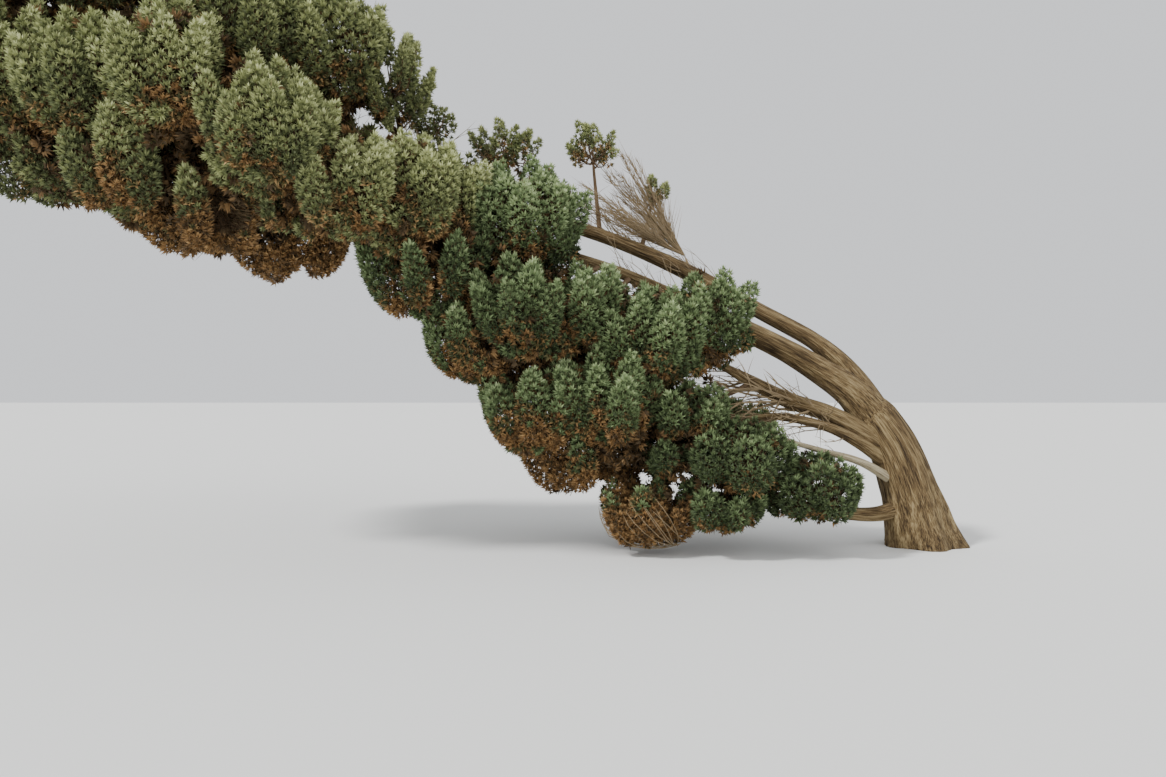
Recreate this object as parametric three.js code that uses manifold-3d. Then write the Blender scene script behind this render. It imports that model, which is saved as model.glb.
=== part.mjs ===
// A leaning sawara cypress: trunk, forked stems, boughs and its masses of foliage.
// Millimetres, +Z up. The origin is the middle of the trunk's flat cut at ground level,
// the tree leans towards -X, and -Y is the side that it is seen from.
import * as THREE from 'three';
import { mergeVertices } from 'three/addons/utils/BufferGeometryUtils.js';
import Module from 'manifold-3d';

const wasm = await Module();
wasm.setup();

// Clearances: between touching solids, from cores and sprays to wood, and between spaces
const CONTACT_GAP = 0.3;
const CORE_CLEARANCE = 14;
const SPRAY_CLEARANCE = 10;
const SPACE_GAP = 16;

// The limbs start below the ground and are cut there, and no spray hangs lower than this
const BELOW_GROUND = 120;
const LOWEST_SPRAY = 30;

// How finely a limb's and a stem's axis are sampled to measure distances to them
const CURVE_SAMPLES = 160;
const STEM_SAMPLES = 12;

// Limbs: the points of each axis, with the limb's radius there as the fourth number
const LIMBS = {
  trunk: {
    axis: [[40, 0, -BELOW_GROUND, 400], [-20, 0, 160, 330], [-110, 0, 540, 268],
      [-250, 0, 930, 238], [-450, 0, 1250, 222]],
    sides: 15, steps: 9, on: [], flare: 0.13,
  },
  lower_stem: {
    axis: [[-450, 0, 1250, 206], [-700, -30, 1520, 158], [-980, -50, 1710, 132], [-1350, -50, 1930, 110],
      [-1860, -30, 2180, 102], [-2310, 0, 2390, 84], [-2900, 0, 2670, 58], [-3470, -50, 2870, 40]],
    sides: 9, steps: 11, on: ['trunk'],
  },
  leader: {
    axis: [[-400, 110, 1280, 160], [-630, 220, 1690, 122], [-970, 280, 2030, 86], [-1560, 300, 2360, 78],
      [-2250, 280, 2730, 84], [-2980, 220, 3040, 68], [-3870, 80, 3320, 62], [-4830, -150, 3660, 60],
      [-5730, -400, 3900, 64], [-6670, -450, 4270, 60], [-7610, -450, 4740, 50], [-8550, -450, 5210, 38],
      [-9260, -450, 5680, 18]],
    sides: 8, steps: 22, on: ['trunk', 'lower_stem'],
  },
  rear_leader: {
    axis: [[-3770, 100, 3290, 46], [-4350, 110, 3560, 48], [-4870, 60, 3850, 44], [-5300, 0, 4190, 36],
      [-5620, -50, 4590, 28], [-5770, -100, 5000, 16]],
    sides: 6, steps: 8, on: ['leader'],
  },
  front_bough: {
    axis: [[-240, 0, 890, 128], [-610, -120, 1120, 100], [-950, -200, 1300, 84], [-1370, -250, 1440, 78],
      [-1700, -310, 1600, 62], [-2000, -350, 1760, 36]],
    sides: 8, steps: 8, on: ['trunk', 'lower_stem'],
  },
  low_bough: {
    axis: [[-190, 0, 720, 84], [-620, -170, 1000, 60], [-1000, -330, 1180, 46], [-1450, -420, 1280, 38],
      [-1800, -450, 1270, 26]],
    sides: 7, steps: 6, on: ['trunk', 'front_bough'],
  },
  dead_bough: {
    axis: [[-150, 0, 560, 60], [-640, -260, 830, 38], [-1080, -400, 960, 28], [-1480, -520, 1080, 19],
      [-1720, -560, 1190, 9]],
    sides: 5, steps: 6, on: ['trunk', 'low_bough'],
  },
  ground_bough: {
    axis: [[-110, 0, 400, 96], [-480, -170, 330, 72], [-900, -270, 360, 58], [-1400, -300, 450, 48],
      [-1800, -320, 480, 34]],
    sides: 7, steps: 6, on: ['trunk'],
  },
  hollow_bough: {
    axis: [[-5290, -290, 3790, 46], [-5720, -480, 3480, 42], [-6090, -600, 3190, 33],
      [-6400, -620, 3040, 22]],
    sides: 6, steps: 5, on: ['leader'],
  },
};

// The root flare: its lobes, and the share of the trunk that it dies away over
const FLARE_LOBES = 5;
const FLARE_HEIGHT = 0.45;

// Masses of foliage: the limb each grows from, its middle and its half sizes.
// An open mass has no core, and a twigs-only mass has no sprays.
const MASSES = {
  far_left: { on: 'leader', at: [-8240, -1050, 4200], half: [480, 600, 740] },
  left_plume: { on: 'leader', at: [-7440, -1230, 4060], half: [460, 620, 650] },
  bright_plume: { on: 'leader', at: [-6690, -1430, 4100], half: [430, 640, 680] },
  high_plume: { on: 'leader', at: [-6250, -880, 4640], half: [540, 650, 600] },
  broad_plume: { on: 'leader', at: [-5970, -1480, 3650], half: [500, 640, 580] },
  airy_top: { on: 'rear_leader', at: [-5660, -560, 4660], half: [480, 560, 640] },
  airy_edge: { on: 'rear_leader', at: [-5160, -360, 4420], half: [400, 440, 560], open: true },
  prop_side: { on: 'leader', at: [-5470, -1120, 3280], half: [450, 580, 460] },
  neck: { on: 'leader', at: [-4920, -740, 3270], half: [560, 620, 560] },
  left_underside: { on: 'leader', at: [-7900, -900, 3640], half: [500, 620, 460] },
  mid_underside: { on: 'leader', at: [-7180, -1070, 3450], half: [480, 640, 460] },
  rusty_underside: { on: 'leader', at: [-6680, -900, 3150], half: [540, 640, 400] },
  hollow_rim: { on: 'hollow_bough', at: [-6300, -60, 2950], half: [600, 600, 300] },
  hollow_tuft: { on: 'hollow_bough', at: [-5930, -1150, 3110], half: [240, 240, 190] },
  top_right: { on: 'leader', at: [-6760, -420, 5230], half: [720, 780, 660] },
  top_middle: { on: 'leader', at: [-7640, -480, 5390], half: [700, 820, 700] },
  top_left: { on: 'leader', at: [-8500, -480, 5530], half: [700, 820, 700] },
  end_front: { on: 'leader', at: [-9080, -820, 4740], half: [560, 680, 780] },
  end_tip: { on: 'leader', at: [-9400, -400, 5500], half: [580, 680, 640] },
  end_back: { on: 'leader', at: [-9200, 150, 4860], half: [680, 720, 820] },
  saddle_plume: { on: 'leader', at: [-3800, -400, 3120], half: [520, 470, 640] },
  under_neck: { on: 'leader', at: [-4660, -500, 2650], half: [560, 600, 540] },
  left_belly: { on: 'leader', at: [-4260, -440, 2000], half: [430, 520, 460] },
  mid_left_plume: { on: 'lower_stem', at: [-3890, -740, 2250], half: [400, 470, 500] },
  mid_plume: { on: 'lower_stem', at: [-3280, -580, 2370], half: [390, 460, 480] },
  tall_plume: { on: 'lower_stem', at: [-2690, -570, 2090], half: [420, 500, 610] },
  slim_plume: { on: 'lower_stem', at: [-2160, -460, 2170], half: [290, 370, 570] },
  lower_plume: { on: 'lower_stem', at: [-3070, -590, 1440], half: [390, 500, 560] },
  mid_belly: { on: 'lower_stem', at: [-3750, -400, 1370], half: [430, 530, 530] },
  low_belly: { on: 'lower_stem', at: [-3250, -150, 960], half: [560, 540, 300] },
  step_tuft: { on: 'front_bough', at: [-2430, -500, 1330], half: [370, 400, 310] },
  low_dome: { on: 'ground_bough', at: [-1930, -540, 930], half: [480, 500, 350], setback: 420 },
  foot_dome: { on: 'ground_bough', at: [-1190, -520, 630], half: [350, 400, 350] },
  foot_tuft: { on: 'ground_bough', at: [-2090, -590, 490], half: [340, 360, 290] },
  rusty_tuft: { on: 'ground_bough', at: [-2710, -430, 410], half: [410, 420, 340], setback: 0 },
  link_tuft: { on: 'low_bough', at: [-2600, -560, 980], half: [280, 320, 240] },
  stalked_tuft_left: { on: 'rear_leader', at: [-4820, 50, 4170], half: [190, 180, 230], open: true },
  stalked_tuft_middle: { on: 'leader', at: [-4130, 120, 3960], half: [380, 300, 290], open: true },
  stalked_tuft: { on: 'leader', at: [-3250, 150, 3960], half: [240, 240, 310], open: true },
  tuft_by_fan: { on: 'leader', at: [-2610, 330, 3560], half: [160, 170, 200], open: true, setback: 40 },
  dead_twigs: { on: 'leader', at: [-2880, 270, 3500], half: [820, 330, 560], twigsOnly: true, setback: 900 },
};

// The far side of the crown: each of these masses has a larger counterpart across the named limb
const BACKED = {
  far_left: 'leader', left_plume: 'leader', bright_plume: 'leader', broad_plume: 'leader',
  mid_underside: 'leader', neck: 'leader', mid_left_plume: 'lower_stem', tall_plume: 'lower_stem',
  lower_plume: 'lower_stem', low_dome: 'lower_stem',
};
const BACK_GROWTH = 1.2;
const BACK_REACH = 0.85;
const BACK_SHIFT = [-140, 0, 130];

// The eggs that the masses fill are this much larger, so that neighbours meet and bound each other
const EGG_GROWTH = 1.12;

// Cores, as shares of the space of their mass, and the part of a core that is surely filled
const CORE_SHARE = 0.84;
const CORE_ROUGHNESS = 0.3;
const FILLED_SHARE = 0.46;

// Sprays: a mass of this half size has them at full length, and a tip may reach this far out
const SPRAY_LENGTH = 640;
const FULL_LENGTH_MASS = 620;
const TIP_REACH = 1.03;
const LENGTH_VARIES = 0.3;
const SPRAY_SIZES = [1, 0.85, 0.7];
const SPRAY_SEATS = [0.82, 0.73, 0.64, 0.54];
const SPRAYS_PER_SQUARE_METRE = 1.3;
const FEWEST_SPRAYS = 4;

// A spray sweeps up and outwards, rolled a little, and less steeply on the underside
const SPRAY_RISE = 1.2;
const UNDERSIDE_RISE = 0.3;
const UNDERSIDE = -0.5;
const SPRAY_ROLL = 1.2;
const NUDGE = 0.25;
const OPEN_SHARE = 0.92;

// A spray is a toothed blade, thick in the middle: a root, two teeth on each side and a tip
const SPRAY_OUTLINE = [[0, 0], [0.52, 0.5], [0.6, 0.28], [1, 0], [0.6, -0.28], [0.52, -0.5]];
const SPRAY_WIDTH = 0.56;
const SPRAY_DEPTH = 0.42;
const SPRAY_BELLY = 0.42;
const SPRAY_KNOT = 0.2;

// Stems and twigs
const STEM_SETBACK = 320;
const STEM_RADIUS = 30;
const STEM_SIDES = 5;
const TWIG_RADIUS = 13;
const TIP_TAPER = 0.6;
const FIRST_FORK = 0.8;

// The fan of dead twigs: its stem, the slopes of the twigs, and their lengths by the mass's size
const TWIGS_IN_FAN = 24;
const FAN_STEM = [-70, 0, 190];
const FAN_RISE = [0.52, 2.1];
const FAN_LENGTH = [1, 1.6];
const FAN_SPREAD = 0.75;
const FAN_TIP_RADIUS = 4;

const COLOURS = { bark: 0x82603f, deadBark: 0x9c8c70, foliage: 0x5d7a5c, rust: 0x7d5434 };
const RUSTY = ['rusty_underside', 'hollow_rim', 'mid_belly', 'low_belly', 'rusty_tuft', 'left_belly'];

// The same seed gives the same tree each time
function seeded(seed) {
  let state = seed;
  return () => {
    state = (state * 16807) % 2147483647;
    return state / 2147483647;
  };
}

const vector = ([x, y, z]) => new THREE.Vector3(x, y, z);

// Solids from surfaces and back
function mergedShell(surface, tolerance) {
  const shell = surface.clone();
  shell.deleteAttribute('normal');
  shell.deleteAttribute('uv');
  return mergeVertices(shell, tolerance);
}

function solidOf(surface) {
  const shell = mergedShell(surface, 1e-3);
  return new wasm.Manifold(new wasm.Mesh({
    numProp: 3,
    vertProperties: new Float32Array(shell.attributes.position.array),
    triVerts: new Uint32Array(shell.index.array),
  }));
}

function geometryOf(solid) {
  const mesh = solid.getMesh();
  const geometry = new THREE.BufferGeometry();
  geometry.setAttribute('position', new THREE.BufferAttribute(mesh.vertProperties, 3));
  geometry.setIndex(new THREE.BufferAttribute(mesh.triVerts, 1));
  return geometry;
}

function largestBody(solid) {
  const bodies = solid.decompose();
  return bodies.reduce((best, body) => (body.volume() > best.volume() ? body : best));
}

// A limb is a cylinder bent along a smooth axis and tapered to the radii of its points
function limbCurve(axis) {
  return new THREE.CatmullRomCurve3(axis.map(vector), false, 'catmullrom', 0.5);
}

function limbRadius(curve, axis, along) {
  const place = curve.getUtoTmapping(along) * (axis.length - 1);
  const first = Math.min(Math.floor(place), axis.length - 2);
  return THREE.MathUtils.lerp(axis[first][3], axis[first + 1][3], place - first);
}

function flareFactor(flare, along, angle) {
  return 1 + flare * Math.cos(FLARE_LOBES * angle) * Math.max(0, 1 - along / FLARE_HEIGHT);
}

function limbSolid({ axis, sides, steps, flare = 0 }, extra = 0) {
  const curve = limbCurve(axis);
  const frames = curve.computeFrenetFrames(steps, false);
  const shape = new THREE.CylinderGeometry(1, 1, steps, sides, steps);
  const position = shape.attributes.position;
  for (let i = 0; i < position.count; i += 1) {
    const step = Math.round(position.getY(i) + steps / 2);
    const along = step / steps;
    const angle = Math.atan2(position.getZ(i), position.getX(i));
    const share = Math.hypot(position.getX(i), position.getZ(i));
    const radius = share * (limbRadius(curve, axis, along) * flareFactor(flare, along, angle) + extra);
    const endShift = (along === 1) - (along === 0);
    const point = curve.getPointAt(along)
      .addScaledVector(frames.normals[step], radius * Math.cos(angle))
      .addScaledVector(frames.binormals[step], -radius * Math.sin(angle))
      .addScaledVector(frames.tangents[step], endShift * extra);
    position.setXYZ(i, point.x, point.y, point.z);
  }
  return solidOf(shape);
}

function cutAtGround(solid) {
  const ground = new THREE.BoxGeometry(4000, 4000, 1000);
  ground.translate(0, 0, -500);
  return solid.subtract(solidOf(ground));
}

// Every limb starts inside the one that carries it and is cut back to a thin gap
function buildLimbs() {
  const limbs = {};
  for (const [name, limb] of Object.entries(LIMBS)) {
    const curve = limbCurve(limb.axis);
    const samples = curve.getSpacedPoints(CURVE_SAMPLES);
    const whole = limb.on.reduce((solid, carrier) => solid.subtract(limbs[carrier].wide), limbSolid(limb));
    limbs[name] = {
      solid: largestBody(cutAtGround(whole)),
      wide: limbSolid(limb, CONTACT_GAP),
      cut: limbSolid(limb, CORE_CLEARANCE),
      samples,
      radii: samples.map((_, i) => limbRadius(curve, limb.axis, i / CURVE_SAMPLES)),
      length: curve.getLength(),
    };
  }
  return limbs;
}

// The list of masses, with the far side's counterparts worked out from the near ones
function depthAt(limb, x) {
  const nearest = limb.samples.reduce((a, b) => (Math.abs(b.x - x) < Math.abs(a.x - x) ? b : a));
  return nearest.y;
}

function farSideOf(name, limb) {
  const { on, at: [x, y, z], half } = MASSES[name];
  const middle = depthAt(limb, x);
  return {
    name: `${name}_back`,
    on,
    at: [x + BACK_SHIFT[0], middle + BACK_REACH * (middle - y), z + BACK_SHIFT[2]],
    half: half.map((size) => size * BACK_GROWTH),
  };
}

function allMasses(limbs) {
  const near = Object.entries(MASSES).map(([name, mass]) => ({ name, ...mass }));
  const far = Object.entries(BACKED).map(([name, across]) => farSideOf(name, limbs[across]));
  return [...near, ...far].map((mass, i) => ({
    ...mass,
    half: mass.half.map((size) => size * EGG_GROWTH),
    centre: vector(mass.at),
    seed: 1009 * (i + 1),
  }));
}

// A mass keeps to its own space: an egg, bounded by a plane towards each neighbour
function eggRadius(half, way) {
  return 1 / Math.hypot(way.x / half[0], way.y / half[1], way.z / half[2]);
}

function boundingPlanes(mass, masses) {
  const planes = [];
  for (const other of masses) {
    const way = other.centre.clone().sub(mass.centre);
    const distance = way.length();
    if (other === mass || distance > Math.max(...mass.half) + Math.max(...other.half)) {
      continue;
    }
    way.normalize();
    const own = eggRadius(mass.half, way);
    const share = own / (own + eggRadius(other.half, way));
    planes.push({ way, offset: distance * share - SPACE_GAP / 2 });
  }
  return planes;
}

function spaceRadius(mass, way, eggShare) {
  let radius = eggRadius(mass.half, way) * eggShare;
  for (const plane of mass.planes) {
    const lean = plane.way.dot(way);
    if (lean > 1e-6) {
      radius = Math.min(radius, plane.offset / lean);
    }
  }
  return radius;
}

function insideSpace(mass, point) {
  const local = point.clone().sub(mass.centre);
  const reach = eggRadius(mass.half, local.clone().normalize()) * TIP_REACH;
  return local.length() <= reach && point.z >= LOWEST_SPRAY
    && mass.planes.every(({ way, offset }) => way.dot(local) <= offset);
}

function insideCore(mass, point) {
  const way = point.clone().sub(mass.centre);
  const distance = way.length();
  return !mass.open && distance < spaceRadius(mass, way.normalize(), FILLED_SHARE);
}

// The core fills the middle of a dense mass, rough and a little smaller than its space
function coreSolid(mass, random) {
  const ball = mergedShell(new THREE.DodecahedronGeometry(1, 0), 1e-4);
  const position = ball.attributes.position;
  for (let i = 0; i < position.count; i += 1) {
    const way = new THREE.Vector3().fromBufferAttribute(position, i).normalize();
    const radius = spaceRadius(mass, way, CORE_SHARE * (1 - CORE_ROUGHNESS * random()));
    way.multiplyScalar(radius).add(mass.centre);
    position.setXYZ(i, way.x, way.y, Math.max(way.z, LOWEST_SPRAY));
  }
  return solidOf(ball);
}

// Turns a shell that was wound inside out the right way round
function outwards(surface) {
  const solid = solidOf(surface);
  if (solid.volume() >= 0) {
    return solid;
  }
  const index = Array.from(surface.index.array);
  for (let i = 0; i < index.length; i += 3) {
    [index[i], index[i + 1]] = [index[i + 1], index[i]];
  }
  surface.setIndex(index);
  return solidOf(surface);
}

function spraySolid(root, way, side, length) {
  const face = way.clone().cross(side).normalize();
  const edge = SPRAY_OUTLINE.map(([along, out]) => root.clone()
    .addScaledVector(way, along * length)
    .addScaledVector(side, out * length * SPRAY_WIDTH));
  const middle = root.clone().addScaledVector(way, SPRAY_BELLY * length);
  const faces = [1, -1].map((hand) => middle.clone().addScaledVector(face, hand * length * SPRAY_DEPTH / 2));
  const points = [...edge, ...faces];
  const triangles = edge.flatMap((_, i) => {
    const next = (i + 1) % edge.length;
    return [next, i, edge.length, i, next, edge.length + 1];
  });
  const shell = new THREE.BufferGeometry();
  shell.setAttribute('position', new THREE.Float32BufferAttribute(points.flatMap((p) => p.toArray()), 3));
  shell.setIndex(triangles);
  return { solid: outwards(shell), points, tip: edge[3] };
}

function twigSolid(start, end, startRadius, endRadius, sides = 3) {
  const way = end.clone().sub(start);
  const twig = new THREE.CylinderGeometry(endRadius, startRadius, way.length(), sides, 1);
  const up = new THREE.Vector3(0, 1, 0);
  twig.applyQuaternion(new THREE.Quaternion().setFromUnitVectors(up, way.normalize()));
  const { x, y, z } = start.clone().lerp(end, 0.5);
  twig.translate(x, y, z);
  return solidOf(twig);
}

// Whether a straight stretch keeps away from the limbs and from the other masses' stems
function clearsWood(start, end, halfWidth, wood) {
  const stretch = new THREE.Line3(start, end);
  const closest = new THREE.Vector3();
  return wood.every(({ samples, radii }) => samples.every((point, i) => {
    stretch.closestPointToPoint(point, true, closest);
    return closest.distanceTo(point) > radii[i] + halfWidth + SPRAY_CLEARANCE;
  }));
}

// The stem leaves its limb a little nearer the root than the middle of the mass
function stemStart(mass, limb) {
  const distances = limb.samples.map((point) => point.distanceTo(mass.centre));
  const nearest = distances.indexOf(Math.min(...distances));
  const back = Math.round((mass.setback ?? STEM_SETBACK) / limb.length * CURVE_SAMPLES);
  return limb.samples[Math.max(nearest - back, 1)];
}

// Directions spread evenly over a ball, each nudged by the seed
function spreadDirections(count, random) {
  const turn = Math.PI * (3 - Math.sqrt(5));
  const start = random() * 2 * Math.PI;
  const nudge = () => (random() - 0.5) * NUDGE;
  return Array.from({ length: count }, (_, i) => {
    const height = 1 - (2 * i + 1) / count;
    const ring = Math.sqrt(1 - height * height);
    const angle = start + turn * i;
    const way = new THREE.Vector3(ring * Math.cos(angle), ring * Math.sin(angle), height);
    return way.add(vector([nudge(), nudge(), nudge()])).normalize();
  });
}

// Sprays sit all over the open outside of the mass and sweep up along it
function sprayPlaces(mass, random) {
  const [a, b, c] = mass.half.map((size) => size / 1000);
  const area = 4 * Math.PI * (a * b * c) ** (2 / 3);
  const fullLength = SPRAY_LENGTH * Math.min(1, Math.max(...mass.half) / FULL_LENGTH_MASS);
  const count = Math.round(SPRAYS_PER_SQUARE_METRE * area) + FEWEST_SPRAYS;
  const places = spreadDirections(count, random).map((way) => {
    const length = fullLength * (1 + (random() - 0.5) * LENGTH_VARIES);
    const rise = way.z < UNDERSIDE ? UNDERSIDE_RISE : SPRAY_RISE;
    const sweep = way.clone().add(new THREE.Vector3(0, 0, rise)).normalize();
    const level = new THREE.Vector3(-way.y, way.x, 0).normalize();
    const side = level.cross(sweep).cross(sweep).normalize();
    side.applyAxisAngle(sweep, (random() - 0.5) * SPRAY_ROLL);
    return { way, sweep, side, length, fork: FIRST_FORK + (1 - FIRST_FORK) * random() };
  });
  return places.filter(({ way }) => spaceRadius(mass, way, 1) >= OPEN_SHARE * eggRadius(mass.half, way));
}

// A spray that would leave the space or touch wood is tried deeper and smaller, and then skipped
function fittingSpray(mass, place, wood) {
  const open = eggRadius(mass.half, place.way);
  for (const size of SPRAY_SIZES) {
    for (const seat of SPRAY_SEATS) {
      const length = place.length * size;
      const root = mass.centre.clone().addScaledVector(place.way, open * seat)
        .addScaledVector(place.sweep, -SPRAY_BELLY * length);
      const spray = spraySolid(root, place.sweep, place.side, length);
      const fits = spray.points.every((point) => insideSpace(mass, point))
        && clearsWood(root, spray.tip, length * SPRAY_WIDTH / 2, wood);
      if (fits) {
        return { solid: spray.solid, knot: root.addScaledVector(place.sweep, length * SPRAY_KNOT) };
      }
    }
  }
  return null;
}

function clearOfLimbs(solid, limbs) {
  return largestBody(Object.values(limbs).reduce((rest, limb) => rest.subtract(limb.wide), solid));
}

function massSolid(mass, limbs, wood) {
  const random = seeded(mass.seed);
  const start = stemStart(mass, limbs[mass.on]);
  const parts = [twigSolid(start, mass.centre, STEM_RADIUS, STEM_RADIUS * TIP_TAPER, STEM_SIDES)];
  if (!mass.open) {
    const core = wood.reduce((solid, piece) => solid.subtract(piece.cut), coreSolid(mass, random));
    parts.push(largestBody(core));
  }
  for (const place of sprayPlaces(mass, random)) {
    const spray = fittingSpray(mass, place, wood);
    const fork = start.clone().lerp(mass.centre, place.fork);
    if (!spray || !clearsWood(fork, spray.knot, TWIG_RADIUS, wood)) {
      continue;
    }
    parts.push(spray.solid);
    if (!insideCore(mass, spray.knot)) {
      parts.push(twigSolid(fork, spray.knot, TWIG_RADIUS, TWIG_RADIUS * TIP_TAPER));
    }
  }
  return clearOfLimbs(wasm.Manifold.union(parts), limbs);
}

// The dead twigs fan out towards the crown from one short stem on top of the leader
function twigFanSolid(mass, limbs, wood) {
  const random = seeded(mass.seed);
  const between = ([least, most], share) => least + (most - least) * share;
  const start = stemStart(mass, limbs[mass.on]);
  const knot = start.clone().add(vector(FAN_STEM));
  const parts = [twigSolid(start, knot, STEM_RADIUS, STEM_RADIUS * TIP_TAPER, STEM_SIDES)];
  for (let i = 0; i < TWIGS_IN_FAN; i += 1) {
    const rise = between(FAN_RISE, (i / TWIGS_IN_FAN) ** 2);
    const way = new THREE.Vector3(-1, (random() - 0.5) * FAN_SPREAD, rise).normalize();
    const end = knot.clone().addScaledVector(way, mass.half[0] * between(FAN_LENGTH, random()));
    if (clearsWood(knot, end, TWIG_RADIUS, wood)) {
      parts.push(twigSolid(knot, end, TWIG_RADIUS, FAN_TIP_RADIUS));
    }
  }
  return clearOfLimbs(wasm.Manifold.union(parts), limbs);
}

// What the cores are cut clear of for a mass's stem, sampled as a limb is
function stemPiece(mass, limb) {
  const start = stemStart(mass, limb);
  const radius = STEM_RADIUS + CORE_CLEARANCE;
  const samples = Array.from({ length: STEM_SAMPLES + 1 },
    (_, i) => start.clone().lerp(mass.centre, i / STEM_SAMPLES));
  return {
    name: mass.name,
    cut: twigSolid(start, mass.centre, radius, radius, STEM_SIDES),
    samples,
    radii: samples.map(() => STEM_RADIUS),
  };
}

function buildMasses(limbs) {
  const masses = allMasses(limbs);
  masses.forEach((mass) => { mass.planes = boundingPlanes(mass, masses); });
  const stems = masses.map((mass) => stemPiece(mass, limbs[mass.on]));
  return masses.map((mass) => {
    const wood = [...Object.values(limbs), ...stems.filter(({ name }) => name !== mass.name)];
    const solid = mass.twigsOnly ? twigFanSolid(mass, limbs, wood) : massSolid(mass, limbs, wood);
    return { ...mass, solid };
  });
}

function foliageColour({ name, twigsOnly }) {
  if (twigsOnly) {
    return COLOURS.deadBark;
  }
  return RUSTY.includes(name) ? COLOURS.rust : COLOURS.foliage;
}

function namedMesh(name, solid, color) {
  const material = new THREE.MeshStandardMaterial({ color, roughness: 0.9, metalness: 0 });
  const mesh = new THREE.Mesh(geometryOf(solid), material);
  mesh.name = name;
  return mesh;
}

const tree = new THREE.Group();
const limbs = buildLimbs();
for (const [name, { solid }] of Object.entries(limbs)) {
  tree.add(namedMesh(name, solid, name === 'dead_bough' ? COLOURS.deadBark : COLOURS.bark));
}
for (const mass of buildMasses(limbs)) {
  tree.add(namedMesh(mass.name, mass.solid, foliageColour(mass)));
}
export default tree;
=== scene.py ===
# A leaning sawara cypress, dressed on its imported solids: bark, twigs, sprays and dead wood.
# Metres, +Z up, in the solids' own frame. The origin lies in the trunk's flat cut at ground level,
# 35 mm from its middle. The tree leans towards -X, and -Y is the side that it is seen from.
import math

import bmesh
import bpy
import numpy as np
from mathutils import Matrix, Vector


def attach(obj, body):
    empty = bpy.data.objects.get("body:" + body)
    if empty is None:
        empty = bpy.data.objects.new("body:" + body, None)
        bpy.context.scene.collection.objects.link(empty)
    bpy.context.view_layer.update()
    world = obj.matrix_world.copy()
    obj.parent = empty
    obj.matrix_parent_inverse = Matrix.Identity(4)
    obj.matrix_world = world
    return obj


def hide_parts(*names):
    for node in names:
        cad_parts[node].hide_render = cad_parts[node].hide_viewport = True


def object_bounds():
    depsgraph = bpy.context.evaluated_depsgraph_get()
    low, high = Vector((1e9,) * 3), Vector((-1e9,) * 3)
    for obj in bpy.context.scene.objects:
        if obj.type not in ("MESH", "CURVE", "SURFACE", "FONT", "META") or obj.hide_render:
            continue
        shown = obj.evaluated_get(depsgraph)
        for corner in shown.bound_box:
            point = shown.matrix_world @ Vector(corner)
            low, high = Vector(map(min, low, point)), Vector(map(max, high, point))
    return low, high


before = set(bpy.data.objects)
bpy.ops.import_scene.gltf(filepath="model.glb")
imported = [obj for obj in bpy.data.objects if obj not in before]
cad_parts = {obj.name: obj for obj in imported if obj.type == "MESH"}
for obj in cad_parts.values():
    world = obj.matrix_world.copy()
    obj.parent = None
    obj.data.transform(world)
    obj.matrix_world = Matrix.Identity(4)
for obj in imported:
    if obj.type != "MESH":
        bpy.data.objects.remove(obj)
solid_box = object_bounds()

# The view: a level camera at eye height, with a wide lens
PHOTO_WIDTH = 1166
FOCAL_PIXELS = 907
SENSOR_WIDTH = 36.0
CAMERA_PLACE = (-3.34, -9.0, 1.55)

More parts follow.
